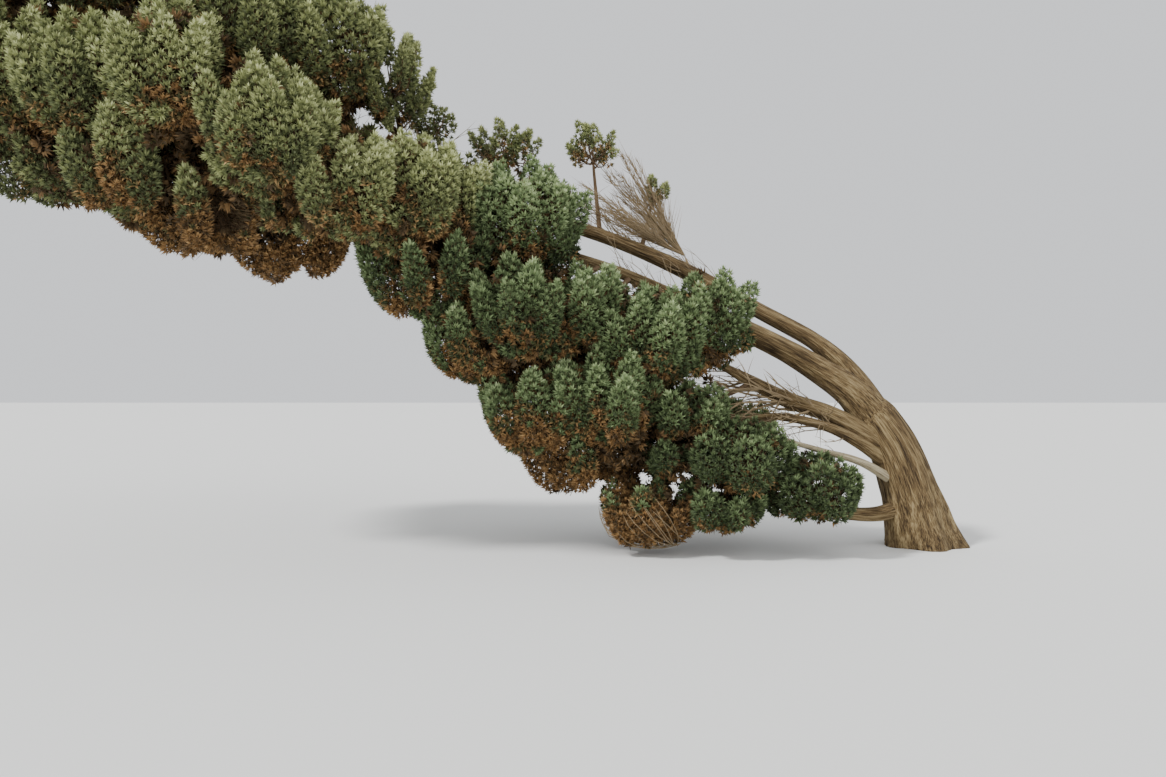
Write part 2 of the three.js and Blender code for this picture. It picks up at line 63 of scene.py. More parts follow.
# Limbs: the points of each axis, with the limb's radius there as the fourth number
LIMBS = {
    "trunk": [
        (0.04, 0, -0.12, 0.4), (-0.02, 0, 0.16, 0.33), (-0.11, 0, 0.54, 0.268),
        (-0.25, 0, 0.93, 0.238), (-0.45, 0, 1.25, 0.222),
    ],
    "lower_stem": [
        (-0.45, 0, 1.25, 0.206), (-0.7, -0.03, 1.52, 0.158), (-0.98, -0.05, 1.71, 0.132),
        (-1.35, -0.05, 1.93, 0.11), (-1.86, -0.03, 2.18, 0.102), (-2.31, 0, 2.39, 0.084),
        (-2.9, 0, 2.67, 0.058), (-3.47, -0.05, 2.87, 0.04),
    ],
    "leader": [
        (-0.4, 0.11, 1.28, 0.16), (-0.63, 0.22, 1.69, 0.122), (-0.97, 0.28, 2.03, 0.086),
        (-1.56, 0.3, 2.36, 0.078), (-2.25, 0.28, 2.73, 0.084), (-2.98, 0.22, 3.04, 0.068),
        (-3.87, 0.08, 3.32, 0.062), (-4.83, -0.15, 3.66, 0.06), (-5.73, -0.4, 3.9, 0.064),
        (-6.67, -0.45, 4.27, 0.06), (-7.61, -0.45, 4.74, 0.05), (-8.55, -0.45, 5.21, 0.038),
        (-9.26, -0.45, 5.68, 0.018),
    ],
    "rear_leader": [
        (-3.77, 0.1, 3.29, 0.046), (-4.35, 0.11, 3.56, 0.048), (-4.87, 0.06, 3.85, 0.044),
        (-5.3, 0, 4.19, 0.036), (-5.62, -0.05, 4.59, 0.028), (-5.77, -0.1, 5, 0.016),
    ],
    "front_bough": [
        (-0.24, 0, 0.89, 0.128), (-0.61, -0.12, 1.12, 0.1), (-0.95, -0.2, 1.3, 0.084),
        (-1.37, -0.25, 1.44, 0.078), (-1.7, -0.31, 1.6, 0.062), (-2, -0.35, 1.76, 0.036),
    ],
    "low_bough": [
        (-0.19, 0, 0.72, 0.084), (-0.62, -0.17, 1, 0.06), (-1, -0.33, 1.18, 0.046),
        (-1.45, -0.42, 1.28, 0.038), (-1.8, -0.45, 1.27, 0.026),
    ],
    "dead_bough": [
        (-0.15, 0, 0.56, 0.06), (-0.64, -0.26, 0.83, 0.038), (-1.08, -0.4, 0.96, 0.028),
        (-1.48, -0.52, 1.08, 0.019), (-1.72, -0.56, 1.19, 0.009),
    ],
    "ground_bough": [
        (-0.11, 0, 0.4, 0.096), (-0.48, -0.17, 0.33, 0.072), (-0.9, -0.27, 0.36, 0.058),
        (-1.4, -0.3, 0.45, 0.048), (-1.8, -0.32, 0.48, 0.034),
    ],
    "hollow_bough": [
        (-5.29, -0.29, 3.79, 0.046), (-5.72, -0.48, 3.48, 0.042), (-6.09, -0.6, 3.19, 0.033),
        (-6.4, -0.62, 3.04, 0.022),
    ],
}

# How finely each limb is made: places round it and places along it
LIMB_MESH = {
    "trunk": (112, 95), "lower_stem": (94, 165), "leader": (63, 235), "rear_leader": (20, 120),
    "front_bough": (56, 130), "low_bough": (42, 100), "dead_bough": (16, 90), "ground_bough": (28, 100),
    "hollow_bough": (16, 80),
}

# Where the wood of these limbs runs on into the fork, so that no step shows there
LIMB_STARTS = {
    "lower_stem": [(-0.28, 0, 0.98, 0.185)],
    "leader": [(-0.23, 0.03, 0.88, 0.165)],
}
LIMB_ENDS = {"trunk": [(-0.57, -0.01, 1.38, 0.165), (-0.68, -0.02, 1.49, 0.09)]}

# The trunk's flared foot, and how finely each axis is followed
FLARE = 0.13
FLARE_LOBES = 5
FLARE_HEIGHT = 0.45
AXIS_SAMPLES = 161
CURVE_STEPS = 60

# Bark: how many strands stand round the limb in each set, and how high they are for its radius
STRANDS = {3: 0.035, 5: 0.025, 9: 0.03, 14: 0.032, 21: 0.03, 31: 0.024}
STRAND_LAYERS = 2
STRAND_KNOTS_PER_METRE = 5
FEWEST_STRAND_KNOTS = 6
STRAND_DRIFT = 0.7
STRAND_FADE = 1.5
STRAND_LEVEL = 0.6
SIDES_PER_STRAND = 3
BARK_SEED_STEP = 7

# Masses of foliage: the limb each grows from, its middle and its half sizes
MASSES = {
    "far_left": ("leader", (-8.24, -1.05, 4.2), (0.48, 0.6, 0.74)),
    "left_plume": ("leader", (-7.44, -1.23, 4.06), (0.46, 0.62, 0.65)),
    "bright_plume": ("leader", (-6.69, -1.43, 4.1), (0.43, 0.64, 0.68)),
    "high_plume": ("leader", (-6.25, -0.88, 4.64), (0.54, 0.65, 0.6)),
    "broad_plume": ("leader", (-5.97, -1.48, 3.65), (0.5, 0.64, 0.58)),
    "airy_top": ("rear_leader", (-5.66, -0.56, 4.66), (0.48, 0.56, 0.64)),
    "airy_edge": ("rear_leader", (-5.16, -0.36, 4.42), (0.4, 0.44, 0.56)),
    "prop_side": ("leader", (-5.47, -1.12, 3.28), (0.45, 0.58, 0.46)),
    "neck": ("leader", (-4.92, -0.74, 3.27), (0.56, 0.62, 0.56)),
    "left_underside": ("leader", (-7.9, -0.9, 3.64), (0.5, 0.62, 0.46)),
    "mid_underside": ("leader", (-7.18, -1.07, 3.45), (0.48, 0.64, 0.46)),
    "rusty_underside": ("leader", (-6.68, -0.9, 3.15), (0.54, 0.64, 0.4)),
    "hollow_rim": ("hollow_bough", (-6.3, -0.06, 2.95), (0.6, 0.6, 0.3)),
    "hollow_tuft": ("hollow_bough", (-5.93, -1.15, 3.11), (0.24, 0.24, 0.19)),
    "top_right": ("leader", (-6.76, -0.42, 5.23), (0.72, 0.78, 0.66)),
    "top_middle": ("leader", (-7.64, -0.48, 5.39), (0.7, 0.82, 0.7)),
    "top_left": ("leader", (-8.5, -0.48, 5.53), (0.7, 0.82, 0.7)),
    "end_front": ("leader", (-9.08, -0.82, 4.74), (0.56, 0.68, 0.78)),
    "end_tip": ("leader", (-9.4, -0.4, 5.5), (0.58, 0.68, 0.64)),
    "end_back": ("leader", (-9.2, 0.15, 4.86), (0.68, 0.72, 0.82)),
    "saddle_plume": ("leader", (-3.8, -0.4, 3.12), (0.52, 0.47, 0.64)),
    "under_neck": ("leader", (-4.66, -0.5, 2.65), (0.56, 0.6, 0.54)),
    "left_belly": ("leader", (-4.26, -0.44, 2), (0.43, 0.52, 0.46)),
    "mid_left_plume": ("lower_stem", (-3.89, -0.74, 2.25), (0.4, 0.47, 0.5)),
    "mid_plume": ("lower_stem", (-3.28, -0.58, 2.37), (0.39, 0.46, 0.48)),
    "tall_plume": ("lower_stem", (-2.69, -0.57, 2.09), (0.42, 0.5, 0.61)),
    "slim_plume": ("lower_stem", (-2.16, -0.46, 2.17), (0.29, 0.37, 0.57)),
    "lower_plume": ("lower_stem", (-3.07, -0.59, 1.44), (0.39, 0.5, 0.56)),
    "mid_belly": ("lower_stem", (-3.75, -0.4, 1.37), (0.43, 0.53, 0.53)),
    "low_belly": ("lower_stem", (-3.25, -0.15, 0.96), (0.56, 0.54, 0.3)),
    "step_tuft": ("front_bough", (-2.43, -0.5, 1.33), (0.37, 0.4, 0.31)),
    "low_dome": ("ground_bough", (-1.93, -0.54, 0.93), (0.48, 0.5, 0.35)),
    "foot_dome": ("ground_bough", (-1.19, -0.52, 0.63), (0.35, 0.4, 0.35)),
    "foot_tuft": ("ground_bough", (-2.09, -0.59, 0.49), (0.34, 0.36, 0.29)),
    "rusty_tuft": ("ground_bough", (-2.71, -0.43, 0.41), (0.41, 0.42, 0.34)),
    "link_tuft": ("low_bough", (-2.6, -0.56, 0.98), (0.28, 0.32, 0.24)),
    "stalked_tuft_left": ("rear_leader", (-4.82, 0.05, 4.17), (0.19, 0.18, 0.23)),
    "stalked_tuft_middle": ("leader", (-4.13, 0.12, 3.96), (0.38, 0.3, 0.29)),
    "stalked_tuft": ("leader", (-3.25, 0.15, 3.96), (0.24, 0.24, 0.31)),
    "tuft_by_fan": ("leader", (-2.61, 0.33, 3.56), (0.16, 0.17, 0.2)),
    "dead_twigs": ("leader", (-2.88, 0.27, 3.5), (0.82, 0.33, 0.56)),
}

# Masses with no core, and how far back along its limb a mass's stem starts where that isn't usual
OPEN_MASSES = ("airy_edge", "stalked_tuft_left", "stalked_tuft_middle", "stalked_tuft", "tuft_by_fan")
SETBACKS = {"low_dome": 0.42, "rusty_tuft": 0, "tuft_by_fan": 0.04, "dead_twigs": 0.9}

# The far side of the crown: each of these masses has a larger counterpart across the named limb
BACKED = {
    "far_left": "leader", "left_plume": "leader", "bright_plume": "leader", "broad_plume": "leader",
    "mid_underside": "leader", "neck": "leader", "mid_left_plume": "lower_stem",
    "tall_plume": "lower_stem", "lower_plume": "lower_stem", "low_dome": "lower_stem",
}
BACK_GROWTH = 1.2
BACK_REACH = 0.85
BACK_SHIFT = (-0.14, 0, 0.13)
EGG_GROWTH = 1.12

# Masses moved off their solids and drawn smaller by these amounts, so that stems and hollow show
TRIMMED = {
    "mid_plume": ((0, 0, -0.08), (0, 0, 0.08)),
    "tall_plume": ((0, 0, -0.07), (0, 0, 0.07)),
    "tall_plume_back": ((0, 0, -0.2), (0, 0, 0.2)),
    "saddle_plume": ((-0.1, 0, 0), (0.1, 0, 0)),
    "hollow_rim": ((0, 0, 0.11), (0, 0, 0.07)),
}
UNTRIMMED = ((0, 0, 0), (0, 0, 0))

# The solids' own run of chance numbers, with one seed for each mass in turn
CHANCE_STEP = 16807
CHANCE_RANGE = 2147483647
SEED_STEP = 1009

# The rule that the solids' sprays follow
SPACE_GAP = 0.016
LOWEST_SPRAY = 0.03
CORE_CORNERS = 20
SPRAY_LENGTH = 0.64
FULL_LENGTH_MASS = 0.62
TIP_REACH = 1.03
LENGTH_VARIES = 0.3
SPRAY_SIZES = (1, 0.85, 0.7)
SPRAY_SEATS = (0.82, 0.73, 0.64, 0.54)
SPRAYS_PER_SQUARE_METRE = 1.3
FEWEST_SPRAYS = 4
SPRAY_RISE = 1.2
UNDERSIDE_RISE = 0.3
UNDERSIDE = -0.5
SPRAY_ROLL = 1.2
NUDGE = 0.25
OPEN_SHARE = 0.92
SPRAY_BELLY = 0.42
SPRAY_WIDEST = 0.52
SPRAY_HALF_WIDTH = 0.28
STEM_SETBACK = 0.32
FIRST_FORK = 0.8

# Twigs inside the crown, with their radii at the foot and at the end
STEM_RADII = (0.03, 0.012)
STEM_STATIONS = 6
STEM_SIDES = 6
STEM_SAG = (0, 0, -0.02)
TWIG_RADII = (0.013, 0.003)
TWIG_SAG = (0, 0, -0.03)
TWIG_REACH = 0.85
LOWEST_TWIG = 0.05
STEEP = 0.9
SPRAY_STEM_RADIUS = 0.0035
SPRAY_STEM_REACH = 0.75

# The fan of dead twigs, which is the last mass
TWIGS_IN_FAN = 24
FAN_STEM = (-0.07, 0, 0.19)
FAN_STEM_RADII = (0.022, 0.012)
FAN_STEM_STATIONS = 4
FAN_RISE = (0.52, 2.1)
FAN_LENGTH = (1, 1.6)
FAN_SPREAD = 0.75
FAN_SCATTER = 0.06
FAN_TWIG_RADII = (0.008, 0.003)
FAN_TWIG_STATIONS = 5
FAN_TWIG_SIDES = 4
FAN_TWIG_SAG = (0, 0, -0.03)
FAN_SEED = SEED_STEP * len(MASSES)
SIDE_TWIGS = 44
SIDE_TWIG_STRETCH = (0.15, 0.9)
SIDE_TWIG_LENGTH = (0.18, 0.48)
SIDE_TWIG_SHORTER = 1.2
SIDE_TWIG_SPREAD = 0.3
SIDE_TWIG_RISE = (0, 0, 0.05)
SIDE_TWIG_SAG = (0, 0, -0.01)
SIDE_TWIG_RADII = (0.0035, 0.0025, 0.001)

# Bare twigs: their limb and the stretch of it, their way and its spread, lengths, radius and number
BARE_TWIGS = [
    ("hollow_bough", (0.3, 1), (-1, -0.5, 0.1), 0.3, (0.35, 0.7), 0.009, 40),
    ("rear_leader", (0.4, 1), (0.3, -0.3, 1), 0.5, (0.3, 0.7), 0.006, 26),
    ("lower_stem", (0.6, 0.85), (-0.8, 0.1, 1), 0.3, (0.25, 0.5), 0.005, 16),
    ("leader", (0.2, 0.36), (-1, 0, 0.9), 0.3, (0.3, 0.7), 0.005, 40),
    ("leader", (0.36, 0.6), (-0.6, -0.3, 1), 0.4, (0.3, 0.6), 0.005, 30),
    ("front_bough", (0.45, 0.9), (-1, -0.4, 0.15), 0.28, (0.5, 0.95), 0.015, 13),
    ("front_bough", (0.45, 1), (-1, -0.3, 0.2), 0.35, (0.3, 0.7), 0.007, 28),
    ("low_bough", (0.4, 1), (-1, -0.2, 0), 0.3, (0.3, 0.7), 0.008, 28),
    ("dead_bough", (0.3, 1), (-1, -0.2, 0.5), 0.4, (0.15, 0.4), 0.004, 14),
]
BARE_SEED = 31
BARE_STATIONS = 5
BARE_SIDES = 4
BARE_BEND = 0.03
BARE_TAPER = 0.25
BARE_SIDE_SPREAD = 0.5
BARE_SIDE_LENGTH = (0.25, 0.5)
BARE_SIDE_SAG = (0, 0, 0.01)
BARE_SIDE_TAPER = (0.6, 0.2)

# The basket of stems round the rusty tuft, by the tuft's own half sizes
BASKET_STEMS = 26
BASKET_STATIONS = 9
BASKET_SIZE = (0.98, 1.08)
BASKET_FOOT = (0.5, 0, -0.9)
BASKET_FOOT_SCATTER = 0.12
BASKET_SWING = 1.7
BASKET_ENDS = (-0.2, 0.5)
BASKET_RADII = (0.006, 0.002)

# The crown's outside: a soft hull round all the eggs, so that masses run into each other
HULL_SOFTNESS = 0.085
FILL_SOFTNESS = 0.15
HULL_ROUNDS = 4
OUTSIDE_DEPTH = 0.09
BEYOND_EGG = 10
LEAST_LEAN = 1e-6
LEAST_SUM = 1e-9

# How far sprays may pass the solids' box, and how near they may come to the ground and to wood
BOX_SLACK = 0.03
BOX_EASE = 0.2
LOWEST_LEAF = 0.06
WOOD_GAP = 0.03

# What the scene adds to the rule: pointed plumes like flames, close together all over that hull,
# with their sizes as shares of a flame's length or radius
FLAMES_PER_SQUARE_METRE = 5.5
FEWEST_FLAMES = 7
FLAME_LENGTH = 0.78
FLAME_RADIUS = 0.21
FLAME_RADIUS_VARIES = 0.3
FLAME_RISE = 1.8
FLAME_POWERS = (0.45, 0.75)
PROFILE_STEPS = 60
FLAME_SEAT = 0.52
FLAME_SEAT_ON_TOP = 0.33
FLAME_SEAT_BELOW = 0.6
FLAME_SINK = 0.75
SINK_VARIES = 0.06
UNDERSIDE_FLAME = 0.7
UNDERSIDE_WAY = (-0.8, 0, 0.4)
UNDERSIDE_LEAN = 0.5
UNDERSIDE_SINK = 1.5
FLAT_MASSES = ("step_tuft", "low_dome", "foot_dome", "foot_tuft", "link_tuft", "low_dome_back")
FLAT_FLAME = 0.8
FLAT_FLAME_WIDTH = 1.4
FLAT_FLAME_SINK = 0.5
FLAME_BURIED = 0.82
SUNK_DEPTH = 0.24
GOLDEN_TURN = math.pi * (3 - math.sqrt(5))
SIDEWAYS = (0.3, 0.9, 0.1)
SHADE_VARIES = 0.5
SHADE_SEED = 12

# Small plumes of the open masses
OPEN_MASS_TIP = 0.97
OPEN_MASS_UNDERSIDE = -0.15
SMALL_PLUMES_PER_SQUARE_METRE = 6
FEWEST_SMALL_PLUMES = 8
SMALL_PLUME_LENGTH = 0.4
LOWEST_PLUME = 0.08
PLUME_GAP = 0.02

# The hollow under the crown, where no tufts grow and bare twigs show
HOLLOW = ((-6.35, -0.8, 3.05), (0.36, 0.5, 0.22))

# Tufts on the flames, in an outer layer that shows and a plainer one beneath it
TUFTS_PER_SQUARE_METRE = 195
UNDER_TUFTS_PER_SQUARE_METRE = 60
UNDER_TUFT_DEPTH = 0.06
FEWEST_TUFTS = 6
TUFT_SIZE = 0.1
TUFT_SIZES = (0.8, 1.25)
TUFT_TILT = (0.25, 1.25)
TUFT_RISE = (0, 0, 0.25)
TUFT_SCATTER = 0.14
FAR_SIDE_SHARE = 0.5

# Sprays round a plume of an open mass: how many, how long, how far they open from it
SPRAYS_PER_METRE = 72
SPRAYS_ON_ANY_PLUME = 0.75
SPRAYS_BY_LENGTH = 0.5
FEWEST_ON_PLUME = 5
SPRAY_SIZE = 0.105
SIZE_ON_ANY_PLUME = 0.62
SIZE_BY_LENGTH = 0.38
SMALLEST_SPRAY = 0.85
SPRAY_SIZE_VARIES = 0.3
OPENINGS = (math.radians(80), math.radians(8))
OPENING_POWER = 1.2
OPENING_SCATTER = 0.12
SPRAY_LIFT = (0, 0, 0.15)
SPRAY_SCATTER = 0.08
FIRST_SPRAY = 0.06
SPRAYED_STRETCH = 0.8
SPRAY_SETBACK = 0.2

# Sprays that fill the crown, some of them dead brown near its outside and the rest in a painted shadow colour
INNER_SPRAYS_PER_CUBIC_METRE = 260
INNER_SPRAY_SIZE = 0.2
INNER_DEPTHS = (0.13, 0.6)
BROWN_DEPTH = 0.26
BROWN_SHARE = 0.5
INNER_REACH = 1.25
DEAD_SIZES = (0.8, 1.2)

# Small sprays in a painted shadow colour just under the leaves of the flat masses
SKIN_SPRAYS_PER_CUBIC_METRE = 1100
SKIN_SPRAY_SIZE = 0.1
SKIN_DEPTHS = (0.075, 0.17)
NO_SOFTNESS = 0.02

# Kinds of spray, numbered in this order, of which the last two have stems of their own
INNER_KINDS = 2
PLAIN_KINDS = 2
FINE_KINDS = 4
FIRST_PLAIN_KIND = INNER_KINDS
FIRST_FINE_KIND = INNER_KINDS + PLAIN_KINDS
FIRST_STEMMED_KIND = FIRST_FINE_KIND + FINE_KINDS // 2
ROLL_STEP = 2.4
SPRAY_GROWTH = 1.0

# Leaves on a spray, each one pointed face: how many, how long and how wide for the spray's length
INNER_LEAVES = (18, 0.45, 0.24)
PLAIN_LEAVES = (16, 0.4, 0.22)
FINE_LEAVES = (22, 0.31, 0.17)
LEAF_LENGTHS = (0.8, 1.2)
LEAF_LIFT = 0.5
LEAF_ROLL = 0.6
FIRST_SHAPE_SEED = 40

# The rounded head of a spray: its place and size, and the degrees that its leaves open by
HEAD_MIDDLE = 0.58
HEAD_RADIUS = 0.14
HEAD_WIDEST = 112
HEAD_CLOSING = 104
HEAD_SCATTER = 0.1
TURN_SCATTER = 0.25

# How many colours of the palette lighter a spray's leaves are, from its foot to its tip: partly the leaves'
# own colour, and partly painted shade at the foot and painted light at the tip
FOOT_DARKER = 1.05
TIP_LIGHTER = 2.2
LEAF_SPECKLE = 0.35

# Base colours, from the painted shadow and dead brown inside the crown to its lit tips, whose lightest greens
# are painted light, with the bluer greens after them
PALETTE = [
    ("inner_shadow", (0.074, 0.049, 0.024)),
    ("dead_brown", (0.172, 0.103, 0.044)),
    ("rust_brown", (0.270, 0.158, 0.065)),
    ("pale_rust", (0.420, 0.262, 0.112)),
    ("rusty_olive", (0.185, 0.150, 0.062)),
    ("deep_olive", (0.072, 0.080, 0.036)),
    ("olive_green", (0.112, 0.130, 0.058)),
    ("mid_olive", (0.172, 0.195, 0.083)),
    ("fresh_olive", (0.265, 0.290, 0.122)),
    ("lit_olive", (0.400, 0.430, 0.195)),
    ("pale_olive", (0.560, 0.590, 0.310)),
    ("faded_rust", (0.300, 0.178, 0.072)),
    ("rusty_green", (0.140, 0.125, 0.053)),
    ("deep_green", (0.050, 0.068, 0.032)),
    ("blue_green", (0.077, 0.105, 0.045)),
    ("mid_green", (0.124, 0.166, 0.070)),
    ("fresh_green", (0.195, 0.262, 0.118)),
    ("lit_green", (0.300, 0.375, 0.180)),
    ("pale_green", (0.450, 0.530, 0.290)),
]

# The numbers of some of these colours, and how much further on the bluer greens lie
SHADOW_TINT = 0
DEAD_TINT = 1
RUST_TINT = 2
TURNING_TINT = 4
FIRST_GREEN_TINT = 6
MIDDLE_GREEN_TINT = 7
LAST_GREEN_TINT = 9
COOL_GREENS = 8
TINT_MATCH = 0.4

# Rust gathers low down, in creases and at a plume's foot, and in creases it also stands for painted shade:
# past the first level a spray turns, and past the second it is dead
RUST_ANYWHERE = 0.02
RUST_LOW_DOWN = 0.3
RUST_AND_SHADE_IN_CREASES = 0.5
RUST_AT_FOOT = 0.8
RUST_FOOT_END = 0.35
RUST_BY_SHADE = 0.15
RUST_SCATTER = 0.14
TURNING_LEVEL = 0.38
RUST_LEVEL = 0.6
DEAD_AMONG_RUST = 0.35

# Greens lighten with height and towards a plume's tip, which is painted light, and darken in creases, which
# is painted shade
PAINTED_LIGHT_HIGH_UP = 0.5
PAINTED_LIGHT_AT_TIP = 2.0
LIGHT_TIP_START = 0.5
LIGHT_BY_SHADE = 0.4
PAINTED_SHADE_IN_CREASES = 1.2
LIGHT_SCATTER = 0.3

# Bark, in the tones of its grooves, its flanks and its ridges, and the plain materials
LIVE_BARK = ((0.03, 0.018, 0.008), (0.15, 0.099, 0.044), (0.325, 0.246, 0.125))
DEAD_BARK = ((0.2, 0.16, 0.1), (0.36, 0.3, 0.19), (0.55, 0.48, 0.33))
TONE_STOPS = (0.39, 0.5, 0.61)
FIBRE_STRETCH = (1, 1, 0.045)
FIBRE_SCALE = 105
FIBRE_DETAIL = 6
FIBRE_ROUGHNESS = 0.65
FIBRE_SHARE = 0.62
PATCH_SCALE = 22
PATCH_SHARE = 0.38
BUMP_DISTANCE = 0.02
TWIG_BARK = (0.14, 0.09, 0.05)
DRY_TWIG = (0.25, 0.185, 0.105)
FLOOR_TONE = (0.72, 0.72, 0.70)
BARK_ROUGHNESS = 0.85
LEAF_ROUGHNESS = 0.75
SPECULAR = 0.25

# The floor, the sky and the suns, each with its strength, its spread and its turn in degrees
FLOOR_REACH = 90
SKY_TONE = (0.95, 0.97, 1.0, 1)
SKY_STRENGTH = 1.0
SUNS = (("key", 3.6, 8, (20, -42, 0)), ("fill", 0.9, 60, (60, 0, 20)))

# Pieces of the crown, with the masses in each, and those that are mostly rust
CROWN_PIECES = {
    "foliage_tip": ["end_front", "end_tip", "end_back"],
    "foliage_top": ["top_right", "top_middle", "top_left", "high_plume", "airy_top", "airy_edge"],
    "foliage_front": ["far_left", "left_plume", "bright_plume", "broad_plume", "prop_side", "neck"],
    "foliage_far_side": ["far_left_back", "left_plume_back", "bright_plume_back", "broad_plume_back",
                         "neck_back"],
    "foliage_underside": ["left_underside", "mid_underside", "rusty_underside", "hollow_rim", "hollow_tuft",
                          "mid_underside_back"],
    "foliage_middle": ["saddle_plume", "under_neck", "mid_left_plume", "mid_plume", "tall_plume",
                       "slim_plume"],
    "foliage_belly": ["left_belly", "lower_plume", "mid_belly", "low_belly"],
    "foliage_middle_far_side": ["mid_left_plume_back", "tall_plume_back", "lower_plume_back",
                                "low_dome_back"],
    "foliage_low": ["step_tuft", "low_dome", "foot_dome", "foot_tuft", "rusty_tuft", "link_tuft"],
    "foliage_stalked": ["stalked_tuft_left", "stalked_tuft_middle", "stalked_tuft", "tuft_by_fan"],
}
RUSTY_PIECES = ("foliage_underside", "foliage_belly")

# How rusty each mass is, how many greens brighter, which is painted light and shade as well as the mass's own
# tone, and which masses have the bluer greens
RUST_SHARE = {
    "rusty_underside": 0.55, "hollow_rim": 0.6, "hollow_tuft": 0.1, "left_underside": -0.2,
    "mid_underside": 0.25, "mid_underside_back": 0.3, "left_belly": 0.35, "mid_belly": 0.5,
    "low_belly": 0.6, "rusty_tuft": 0.95, "under_neck": 0.2, "foot_tuft": 0.1, "lower_plume": 0.2,
    "mid_left_plume": 0.1, "step_tuft": 0.15, "stalked_tuft": 0.2, "stalked_tuft_middle": 0.25,
    "tuft_by_fan": 0.1, "prop_side": 0.1, "neck": 0.15, "mid_plume": 0.05, "bright_plume": 0.1,
    "broad_plume": 0.05,
}
PAINTED_LIGHT_AND_TONE = {
    "bright_plume": 0.8, "far_left": 0.4, "left_plume": 0.2, "top_left": 0.3, "top_middle": 0.3,
    "top_right": 0.2, "high_plume": 0.2, "airy_edge": 0.3, "airy_top": 0.3, "saddle_plume": 0.3,
    "broad_plume": 0.5, "neck": 0.9, "prop_side": 0.9, "mid_plume": 0.4,
    "lower_plume": -0.3, "under_neck": -0.4, "mid_left_plume": -0.2, "end_tip": 0.5, "end_front": 0.4,
    "rusty_tuft": -0.6, "low_dome": -1.1, "foot_dome": -1.3, "link_tuft": -0.9, "foot_tuft": -0.8,
    "step_tuft": -0.4,
}
COOL_MASSES = (
    "saddle_plume", "under_neck", "left_belly", "mid_left_plume", "mid_plume", "tall_plume", "slim_plume",
    "lower_plume", "mid_belly", "low_belly", "step_tuft", "low_dome", "foot_dome", "foot_tuft", "link_tuft",
    "rusty_tuft", "mid_left_plume_back", "tall_plume_back", "lower_plume_back", "low_dome_back",
)


def unit(vectors):
    return vectors / np.linalg.norm(vectors, axis=-1, keepdims=True)


def between(ends, share):
    return ends[0] + (ends[1] - ends[0]) * share


def joined(rows):
    return {key: np.concatenate([row[key] for row in rows]) for key in rows[0]}


def kept(rows, keep):
    return {key: values[keep] for key, values in rows.items()}


def seeded(seed):
    """The solids' own run of chance numbers, so that the large plumes fall where their sprays do."""
    state = seed
    while True:
        state = state * CHANCE_STEP % CHANCE_RANGE
        yield state / CHANCE_RANGE


def centred(chance):
    """The next chance number, moved to lie between -0.5 and 0.5."""
    return next(chance) - 0.5


# Axes of limbs and twigs
def smooth_axis(points, count):
    """Places evenly spaced along the smooth curve through the points, each with its radius."""
    points = np.array(points, float)
    ends = np.vstack([2 * points[0] - points[1], points, 2 * points[-1] - points[-2]])
    t = np.linspace(0, 1, CURVE_STEPS, endpoint=False)[:, None]
    stretches = []
    for before, start, end, after in zip(ends, ends[1:], ends[2:], ends[3:]):
        leave = (end - before) / 2
        arrive = (after - start) / 2
        stretch = ((2 * t**3 - 3 * t**2 + 1) * start + (t**3 - 2 * t**2 + t) * leave
                   + (3 * t**2 - 2 * t**3) * end + (t**3 - t**2) * arrive)
        stretch[:, 3:] = start[3:] + t * (end[3:] - start[3:])
        stretches.append(stretch)
    fine = np.vstack([*stretches, points[-1:]])
    steps = np.linalg.norm(np.diff(fine[:, :3], axis=0), axis=1)
    along = np.concatenate([[0], np.cumsum(steps)])
    wanted = np.linspace(0, along[-1], count)
    return np.column_stack([np.interp(wanted, along, column) for column in fine.T]), along[-1]


def carried_frames(centres):
    """Two directions across the axis at each place, carried along it without twisting."""
    tangents = unit(np.gradient(centres, axis=0))
    helper = np.eye(3)[np.argmin(np.abs(tangents[0]))]
    normal = unit(np.cross(tangents[0], np.cross(tangents[0], helper)))
    normals = []
    for tangent in tangents:
        normal = unit(normal - tangent * normal.dot(tangent))
        normals.append(normal)
    normals = np.array(normals)
    return normals, np.cross(tangents, normals)


# Mesh making
def mesh_object(name, vertices, faces, materials):
    mesh = bpy.data.meshes.new(name)
    mesh.from_pydata(np.asarray(vertices).tolist(), [], faces)
    for material in materials:
        mesh.materials.append(material)
    mesh.update()
    piece = bpy.data.objects.new(name, mesh)
    bpy.context.scene.collection.objects.link(piece)
    return piece


def smooth_shaded(piece):
    piece.data.polygons.foreach_set("use_smooth", [True] * len(piece.data.polygons))
    return piece


def tube_faces(rings, sides):
    """Quads between rings of places, with a fan of triangles over each end."""
    faces = []
    for ring in range(rings - 1):
        for side in range(sides):
            after = (side + 1) % sides
            faces.append((ring * sides + side, ring * sides + after,
                          (ring + 1) * sides + after, (ring + 1) * sides + side))
    first_middle = rings * sides
    last_middle = first_middle + 1
    for side in range(sides):
        after = (side + 1) % sides
        faces.append((first_middle, after, side))
        faces.append((last_middle, (rings - 1) * sides + side, (rings - 1) * sides + after))
    return faces


# Bark: strands that run along the limb, swell, part and fade
def bark_relief(angles, along, sides, seed):
    """Height of the bark over the smooth limb, as a share of the radius."""
    chance = np.random.default_rng(seed)
    knots = max(FEWEST_STRAND_KNOTS, int(along[-1] * STRAND_KNOTS_PER_METRE))
    knot_places = np.linspace(0, along[-1], knots)
    relief = np.zeros((len(along), len(angles)))
    for count, height in STRANDS.items():
        if sides < count * SIDES_PER_STRAND:
            continue
        for _ in range(STRAND_LAYERS):
            drift = np.interp(along, knot_places, np.cumsum(chance.normal(0, STRAND_DRIFT, knots)))
            strength = np.interp(along, knot_places, chance.random(knots) ** STRAND_FADE)
            wave = np.abs(np.sin((count * angles[None, :] + drift[:, None]) / 2))
            relief += height * strength[:, None] * (wave - STRAND_LEVEL)
    return relief


